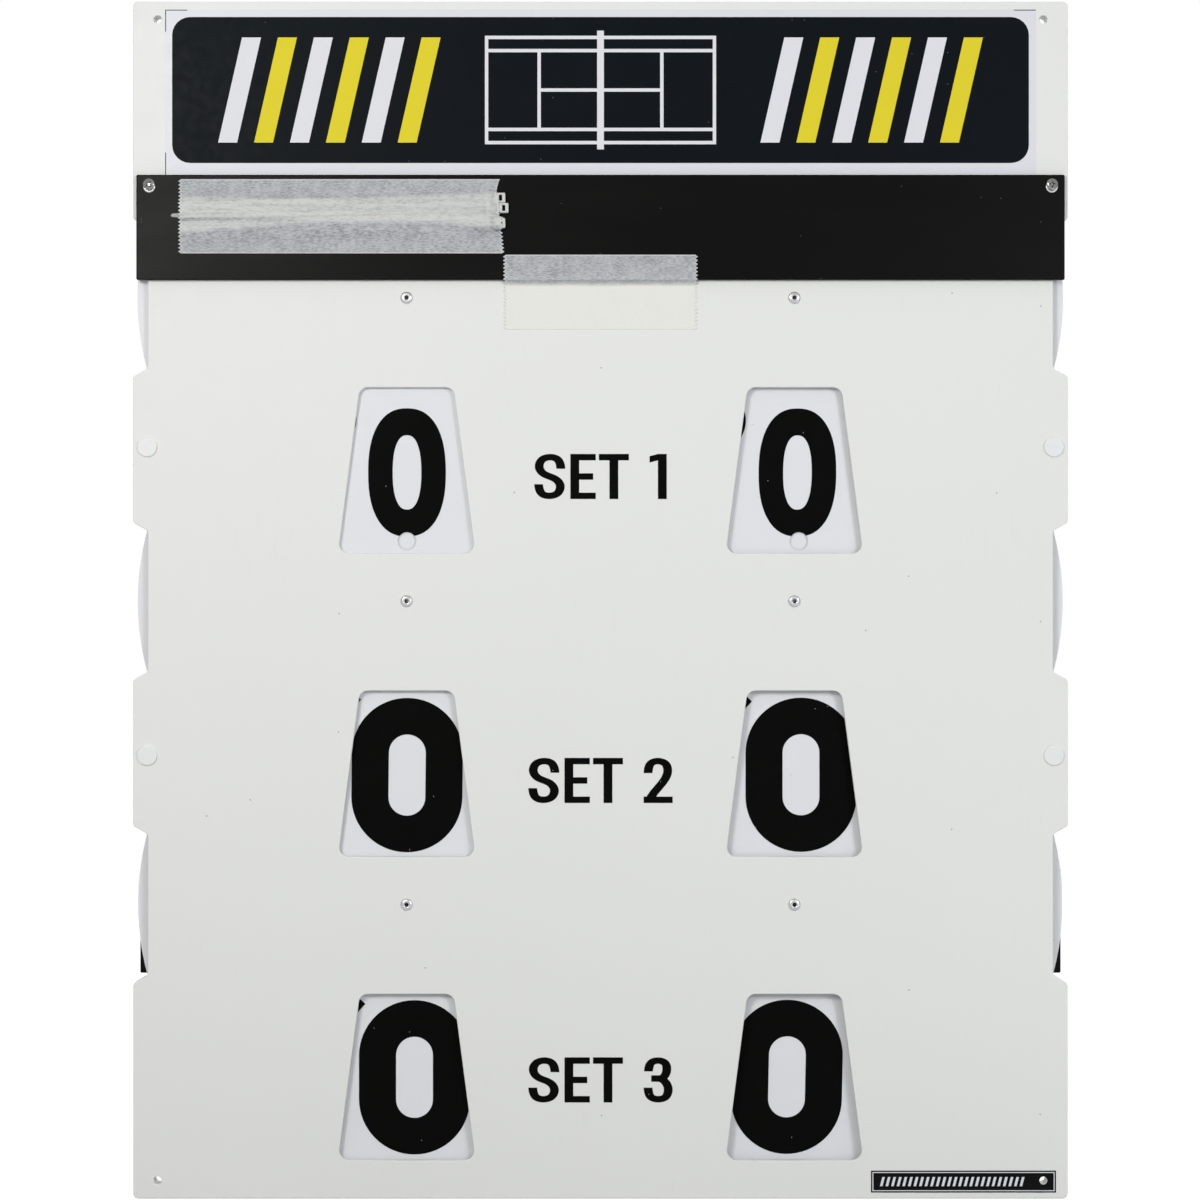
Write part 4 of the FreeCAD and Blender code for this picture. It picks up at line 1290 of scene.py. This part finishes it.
@dataclass
class Tape(OnNode):
    """A piece of masking tape that drapes over what it holds, with toothed ends from its dispenser."""

    slot: str = "masking_paper"
    film: float = 0.14 * MM
    clearance: float = 0.03 * MM
    row_step: float = 0.2 * MM
    column_step: float = 1.2 * MM
    tooth_pitch: float = 1.85 * MM
    tooth_depth: float = 1.4 * MM
    edge_width: float = 0.8 * MM

    def tooth(self, z: float) -> float:
        """Depth of the dispenser's teeth at a height."""
        share = (z - self.low.z) / self.tooth_pitch
        return self.tooth_depth * abs(2 * (share - math.floor(share)) - 1)

    def left_end(self, z: float) -> float:
        """Where the tape starts at a height."""
        return self.low.x + self.tooth(z)

    def right_end(self, z: float) -> float:
        """Where the tape ends at a height."""
        return self.high.x - self.tooth(z)

    def lie(self, x: float, z: float) -> Triple:
        """Depth of the tape's underside, how far it is lifted, and how far it lies on white or takes painted
        shade, at a place.
        """
        raise NotImplementedError

    def build(self, finishes: Finishes) -> None:
        """Make the tape as a closed sheet with its lift, edge and ground attributes."""
        rows = round((self.high.z - self.low.z) / self.row_step)
        columns = round((self.high.x - self.low.x) / self.column_step)
        marks: dict[str, list[float]] = {"lift": [], "edge": [], "ground": []}
        places = []
        for row in range(rows + 1):
            z = self.low.z + (self.high.z - self.low.z) * row / rows
            left, right = self.left_end(z), self.right_end(z)
            near = min(row, rows - row) * self.row_step
            for column in range(columns + 1):
                x = left + (right - left) * column / columns
                depth, lift, ground = self.lie(x, z)
                places.append((x, depth, z))
                marks["lift"].append(lift)
                marks["ground"].append(ground)
                end = min(x - left, right - x)
                marks["edge"].append(1.0 - smooth(min(near, end) / self.edge_width))
        work = bmesh.new()
        under = [work.verts.new(place) for place in places]
        over = [work.verts.new((x, depth - self.film, z)) for x, depth, z in places]
        width = columns + 1
        for row in range(rows):
            for column in range(columns):
                corner = row * width + column
                corners = (corner, corner + 1, corner + width + 1, corner + width)
                work.faces.new([over[index] for index in corners])
                work.faces.new([under[index] for index in reversed(corners)])
        rim = list(range(width)) + [row * width + columns for row in range(1, rows + 1)]
        rim += [rows * width + column for column in range(columns - 1, -1, -1)]
        rim += [row * width for row in range(rows - 1, 0, -1)]
        for first, second in zip(rim, rim[1:] + rim[:1]):
            work.faces.new((under[first], under[second], over[second], over[first]))
        for face in work.faces:
            face.smooth = True
        piece = object_from(f"{self.node}_draped", work)
        for name, values in marks.items():
            store_numbers(piece, name, values + values)
        settle(piece, finishes.by_slot[self.slot], self.slot, self.node)


@dataclass
class LongTape(Tape):
    """The tape over the three ties: it rides up on their straps and is torn round their heads."""

    ties: list[CableTie] = field(default_factory=list)
    flank: float = 2.6 * MM
    lower_flank: float = 7.0 * MM
    head_flank: float = 2.2 * MM
    head_room: float = 0.1 * MM
    head_ramp: float = 4.5 * MM
    tip_ramp: float = 5.0 * MM
    cover: float = 0.08 * MM
    crease: float = 0.06 * MM
    crease_length: float = 16 * MM
    crease_width: float = 1.4 * MM
    # Lines along the tape, as share of its length and drop below its top edge in millimetres
    pale_top_mm: Stops = ((0.0, 8.8), (0.3, 10.0), (0.6, 9.3), (1.0, 6.8))
    pale_bottom_mm: Stops = ((0.0, 26.6), (0.24, 24.3), (0.42, 21.8), (0.78, 21.8), (1.0, 23.8))
    pale_soft: float = 2.6 * MM
    wave: float = 0.8 * MM
    wave_length: float = 11 * MM
    wave_row: float = 4.0
    # Folds at a drop below the top edge, as share of the tape's length and depth of their shade
    valley_mm: float = 20.2
    valley_stops: Stops = ((0.0, 0.95), (0.26, 0.85), (0.36, 0.30), (0.46, 0.0))
    dip_mm: float = 15.5
    dip_stops: Stops = ((0.3, 0.0), (0.42, 0.32), (0.9, 0.32))
    fold_width: float = 1.5 * MM
    # How far the tape sags between its straps, the lower span by share of its length
    close_sag: float = 0.10
    far_sag_stops: Stops = ((0.0, 0.85), (0.35, 0.45), (1.0, 0.25))
    sag_power: float = 0.8
    # Drop below the tape's top edge, and reach of the torn end past the CAD tape, both in millimetres
    torn_end_mm: Stops = ((0.0, 2.2), (3.6, 1.1), (6.0, 0.8), (9.0, 1.0), (11.4, 1.9), (14.0, 2.0), (17.3, 2.3),
                          (18.5, 3.1), (19.5, 4.2), (23.8, 4.2), (24.8, 3.7), (37.1, 4.8))
    fray: float = 0.35 * MM
    fray_length: float = 0.9 * MM
    toothed_below: float = 17.0 * MM

    def along(self, x: float) -> float:
        """Share of the tape's length at a place across the board."""
        return (x - self.low.x) / (self.high.x - self.low.x)

    def right_end(self, z: float) -> float:
        """Torn end round the heads, toothed below them."""
        drop = self.high.z - z
        reach = between(drop / MM, self.torn_end_mm) * MM
        fray = self.fray * noise.noise(Vector((0.0, 0.0, z / self.fray_length)))
        return self.high.x + reach + (-self.tooth(z) if drop > self.toothed_below else fray)

    def strap_top(self, tie: CableTie) -> float:
        """How far a tie's strap holds the tape off the name strip."""
        return tie.strap_height + tie.tooth_rise + self.cover

    def rise_over(self, tie: CableTie, x: float, z: float) -> float:
        """How far one tie lifts the tape at a place."""
        off = abs(z - tie.line_height(x))
        flank = self.lower_flank if tie is self.ties[-1] and z < tie.line_height(x) else self.flank
        strap = smooth(1.0 - (off - tie.strap_width / 2) / flank)
        strap *= smooth(1.0 - (tie.low.x - x) / self.tip_ramp) * self.strap_top(tie)
        head_left = tie.head[0] - tie.head_length / 2
        head = smooth(1.0 - (off - tie.head_width / 2 - self.head_room) / self.head_flank)
        head *= smooth(1.0 - (head_left - x) / self.head_ramp) * (tie.high.y - tie.low.y + self.cover)
        return max(strap, head)

    def span_between(self, x: float, z: float) -> float:
        """How far the tape stays up where it spans from one strap to the next."""
        sags = (self.close_sag, between(self.along(x), self.far_sag_stops))
        for upper, lower, sag in zip(self.ties, self.ties[1:], sags):
            top, bottom = upper.line_height(x), lower.line_height(x)
            if bottom < z < top:
                share = (z - bottom) / (top - bottom)
                return self.strap_top(upper) * (1.0 - sag * math.sin(math.pi * share) ** self.sag_power)
        return 0.0

    def pale(self, x: float, z: float) -> float:
        """How pale the tape looks at a place: paler where the ties hold it up, less so in its folds."""
        along, drop = self.along(x), self.high.z - z
        wave = self.wave * noise.noise(Vector((x / self.wave_length, self.wave_row, 0.0)))
        top = between(along, self.pale_top_mm) * MM + wave
        bottom = between(along, self.pale_bottom_mm) * MM - wave
        share = smooth((drop - top) / self.pale_soft + 0.5) * smooth((bottom - drop) / self.pale_soft + 0.5)
        for level, stops in ((self.valley_mm, self.valley_stops), (self.dip_mm, self.dip_stops)):
            near = smooth(1.0 - abs(drop - level * MM) / self.fold_width)
            share *= 1.0 - near * between(along, stops)
        return share

    def lie(self, x: float, z: float) -> Triple:
        """Depth over the ties, with small creases where the tape is lifted; it lies on the dark strip."""
        rise = max([self.rise_over(tie, x, z) for tie in self.ties] + [self.span_between(x, z)])
        lift = self.pale(x, z)
        fold = noise.noise(Vector((x / self.crease_length, 0.0, z / self.crease_width)))
        return FACES.strip - self.clearance - rise - self.crease * lift * abs(fold), lift, 0.0


@dataclass
class ShortTape(Tape):
    """The tape that runs from the name strip over its lower edge and onto the panel."""

    bridge: float = 3.0 * MM
    bridge_wave: float = 0.25
    bridge_wave_length: float = 14 * MM
    bridge_wave_row: float = 1.5
    bridge_power: float = 1.6
    bridge_lift: float = 0.25
    # Length below the strip's edge over which the tape turns from its dark-backed grey to its white-backed
    # colour; the grey it keeps across the bridge is partly painted shade
    white_and_shade_ramp: float = 3.4 * MM

    def lie(self, x: float, z: float) -> Triple:
        """Depth on the strip, over its edge and on the panel; across the bridge the tape keeps part of its
        dark-backed grey, partly for the strip's edge behind it and partly as painted shade under that edge.
        """
        below = FACES.strip_bottom - z
        wave = noise.noise(Vector((x / self.bridge_wave_length, self.bridge_wave_row, 0.0)))
        share = min(1.0, max(0.0, below / (self.bridge * (1 + self.bridge_wave * wave))))
        drop = (FACES.panel - FACES.strip) * (1.0 - (1.0 - share) ** self.bridge_power)
        lift = self.bridge_lift * smooth(1.0 - abs(below) / self.bridge)
        # The ground ramp over the bridge paints part of the shade under the strip's edge
        return FACES.strip - self.clearance + drop, lift, smooth(below / self.white_and_shade_ramp)


@dataclass
class CadPieces:
    """The CAD nodes whose shapes are kept: discs, numerals, labels and small fasteners."""

    finishes: Finishes
    rim: float = 2.0 * MM
    hub: float = 20.0 * MM

    def disc_finish(self, name: str) -> DiscFinish:
        """Finish of one disc, round its own pivot and the hole that its CAD node has, if any."""
        low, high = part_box(name)
        pivot = Vector(((low.x + high.x) / 2, (low.z + high.z) / 2))
        reach = (high.x - low.x) / 2 - self.rim
        flat = [Vector((vert.co.x, vert.co.z)) for vert in frame["nodes"][name].data.vertices]
        cut = [place for place in flat if self.hub < (place - pivot).length < reach]
        hole, radius = None, 0.0
        if cut:
            left, right = min(place.x for place in cut), max(place.x for place in cut)
            bottom, top = min(place.y for place in cut), max(place.y for place in cut)
            hole, radius = ((left + right) / 2, (bottom + top) / 2), (right - left) / 2
        return DiscFinish(f"{name}_sheet", tuple(pivot), hole, radius)

    def dress(self) -> None:
        """Give every CAD node its finish by its slot, and each disc its own rings."""
        slots = {part["node"]: part["material_slot"] for part in frame["record"]["subparts"]}
        for name, node in frame["nodes"].items():
            if slots[name] == "disc_sheet":
                material = self.disc_finish(name).make()
            else:
                material = self.finishes.by_slot[slots[name]]
            node.data.materials.clear()
            node.data.materials.append(material)
            LOG.info("%s: kept from the CAD model in %s", name, material.name)


@dataclass(frozen=True)
class Lamp:
    """A soft square lamp that faces the board."""

    name: str
    place: Triple
    size: float
    watts: float
    tint: Colour = (1.0, 1.0, 1.0)

    def hang(self) -> None:
        """Hang the lamp, out of the camera's sight."""
        data = bpy.data.lights.new(self.name, "AREA")
        data.size, data.energy, data.color = self.size, self.watts, self.tint
        lamp = add_object(self.name, data)
        lamp.location = self.place
        lamp.rotation_euler = (-Vector(self.place)).to_track_quat("-Z", "Y").to_euler()
        lamp.visible_camera = False


@dataclass
class Studio:
    """Floor, lamps, world and camera."""

    lamps: tuple[Lamp, ...] = (
        Lamp("left_lamp", (-0.50, -1.10, 0.40), 0.28, 5.7, (1.0, 0.99, 0.965)),
        Lamp("right_lamp", (0.85, -1.30, 0.32), 0.33, 6.0, (0.965, 0.985, 1.0)),
        Lamp("low_right_lamp", (0.44, -0.42, -0.26), 0.20, 0.21, (0.965, 0.985, 1.0)),
        Lamp("rear_lamp", (0.7, 2.0, 1.3), 1.4, 24.0),
    )
    ambient: float = 0.46
    floor_tones: tuple[Colour, Colour] = ((0.48, 0.48, 0.48), (0.46, 0.46, 0.46))
    floor_tone_scale: float = 3.0
    floor_half: float = 1.6
    floor_gap: float = 0.4 * MM
    floor_glow: float = 0.75
    photo_width: float = 0.6015
    camera_distance: float = 1.5
    camera_shift: float = -0.25 * MM
    sensor: float = 36.0

    def floor(self) -> None:
        """Lay a pale floor that shows white to the camera and keeps the object's shadow."""
        shader = Shader("studio_floor")
        tone = shader.mix(shader.noise(self.floor_tone_scale), *self.floor_tones)
        shader.set(Base_Color=tone, Roughness=0.9, Specular_IOR_Level=0.1)
        glow = shader.times(shader.seen(), self.floor_glow)
        shader.set(Emission_Color=(1.0, 1.0, 1.0), Emission_Strength=glow)
        half, level = self.floor_half, CAD_BOX[0].z - self.floor_gap
        mesh = bpy.data.meshes.new("floor")
        corners = [(-half, -half, level), (half, -half, level), (half, half, level), (-half, half, level)]
        mesh.from_pydata(corners, [], [(0, 1, 2, 3)])
        mesh.materials.append(shader.material)
        add_object("floor", mesh)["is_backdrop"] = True

    def world(self) -> None:
        """Even light all round, seen as white by the camera and in reflections."""
        world = bpy.data.worlds.new("studio")
        world.use_nodes = True
        nodes = Nodes(world.node_tree)
        sky = world.node_tree.nodes["Background"].inputs
        nodes.feed(sky["Color"], (1.0, 1.0, 1.0))
        nodes.feed(sky["Strength"], nodes.span(nodes.seen(), self.ambient, 1.0))
        bpy.context.scene.world = world

    def camera(self) -> None:
        """Stand the camera square in front of the board, at the photo's framing."""
        data = bpy.data.cameras.new("camera")
        data.sensor_width = self.sensor
        data.lens = self.sensor * self.camera_distance / self.photo_width
        camera = add_object("camera", data)
        camera.location = (self.camera_shift, FACES.panel - self.camera_distance, 0.0)
        camera.rotation_euler = (math.pi / 2, 0.0, 0.0)
        bpy.context.scene.camera = camera

    def build(self) -> None:
        """Set up the whole studio."""
        self.floor()
        for lamp in self.lamps:
            lamp.hang()
        self.world()
        self.camera()
        bpy.context.scene.view_settings.view_transform = "Standard"


def write_sizes() -> None:
    """Gather the CAD box and the dressed object's box as plain lists; nothing is written."""
    boxes = {"cad": CAD_BOX, "visual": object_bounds()}
    {name: [list(corner) for corner in box] for name, box in boxes.items()}


def main() -> None:
    """Build and dress every sub-assembly in order."""
    logging.basicConfig(level=logging.INFO, format="%(name)s: %(message)s")
    finishes = Finishes()
    scatter, rows = ScatterTree(), RowTree()
    Studio().build()
    CadPieces(finishes).dress()
    for node, slot in (("front_panel", "white_sheet"), ("back_panel", "white_sheet"),
                       ("name_strip", "black_sheet"), ("rear_strip", "black_sheet")):
        EasedSheet(node, slot).build(finishes)
    Rivets().build(finishes, scatter)
    StripScrews().build(finishes, scatter)
    HeaderPrint().build(finishes, rows)
    CornerPrint().build(finishes, rows)
    ties = [CableTie(f"cable_tie_{place}") for place in ("upper", "middle", "lower")]
    for tie in ties:
        tie.build(finishes, rows)
    LongTape("masking_tape_long", ties=ties).build(finishes)
    ShortTape("masking_tape_short").build(finishes)
    write_sizes()


if __name__ == "__main__":
    main()
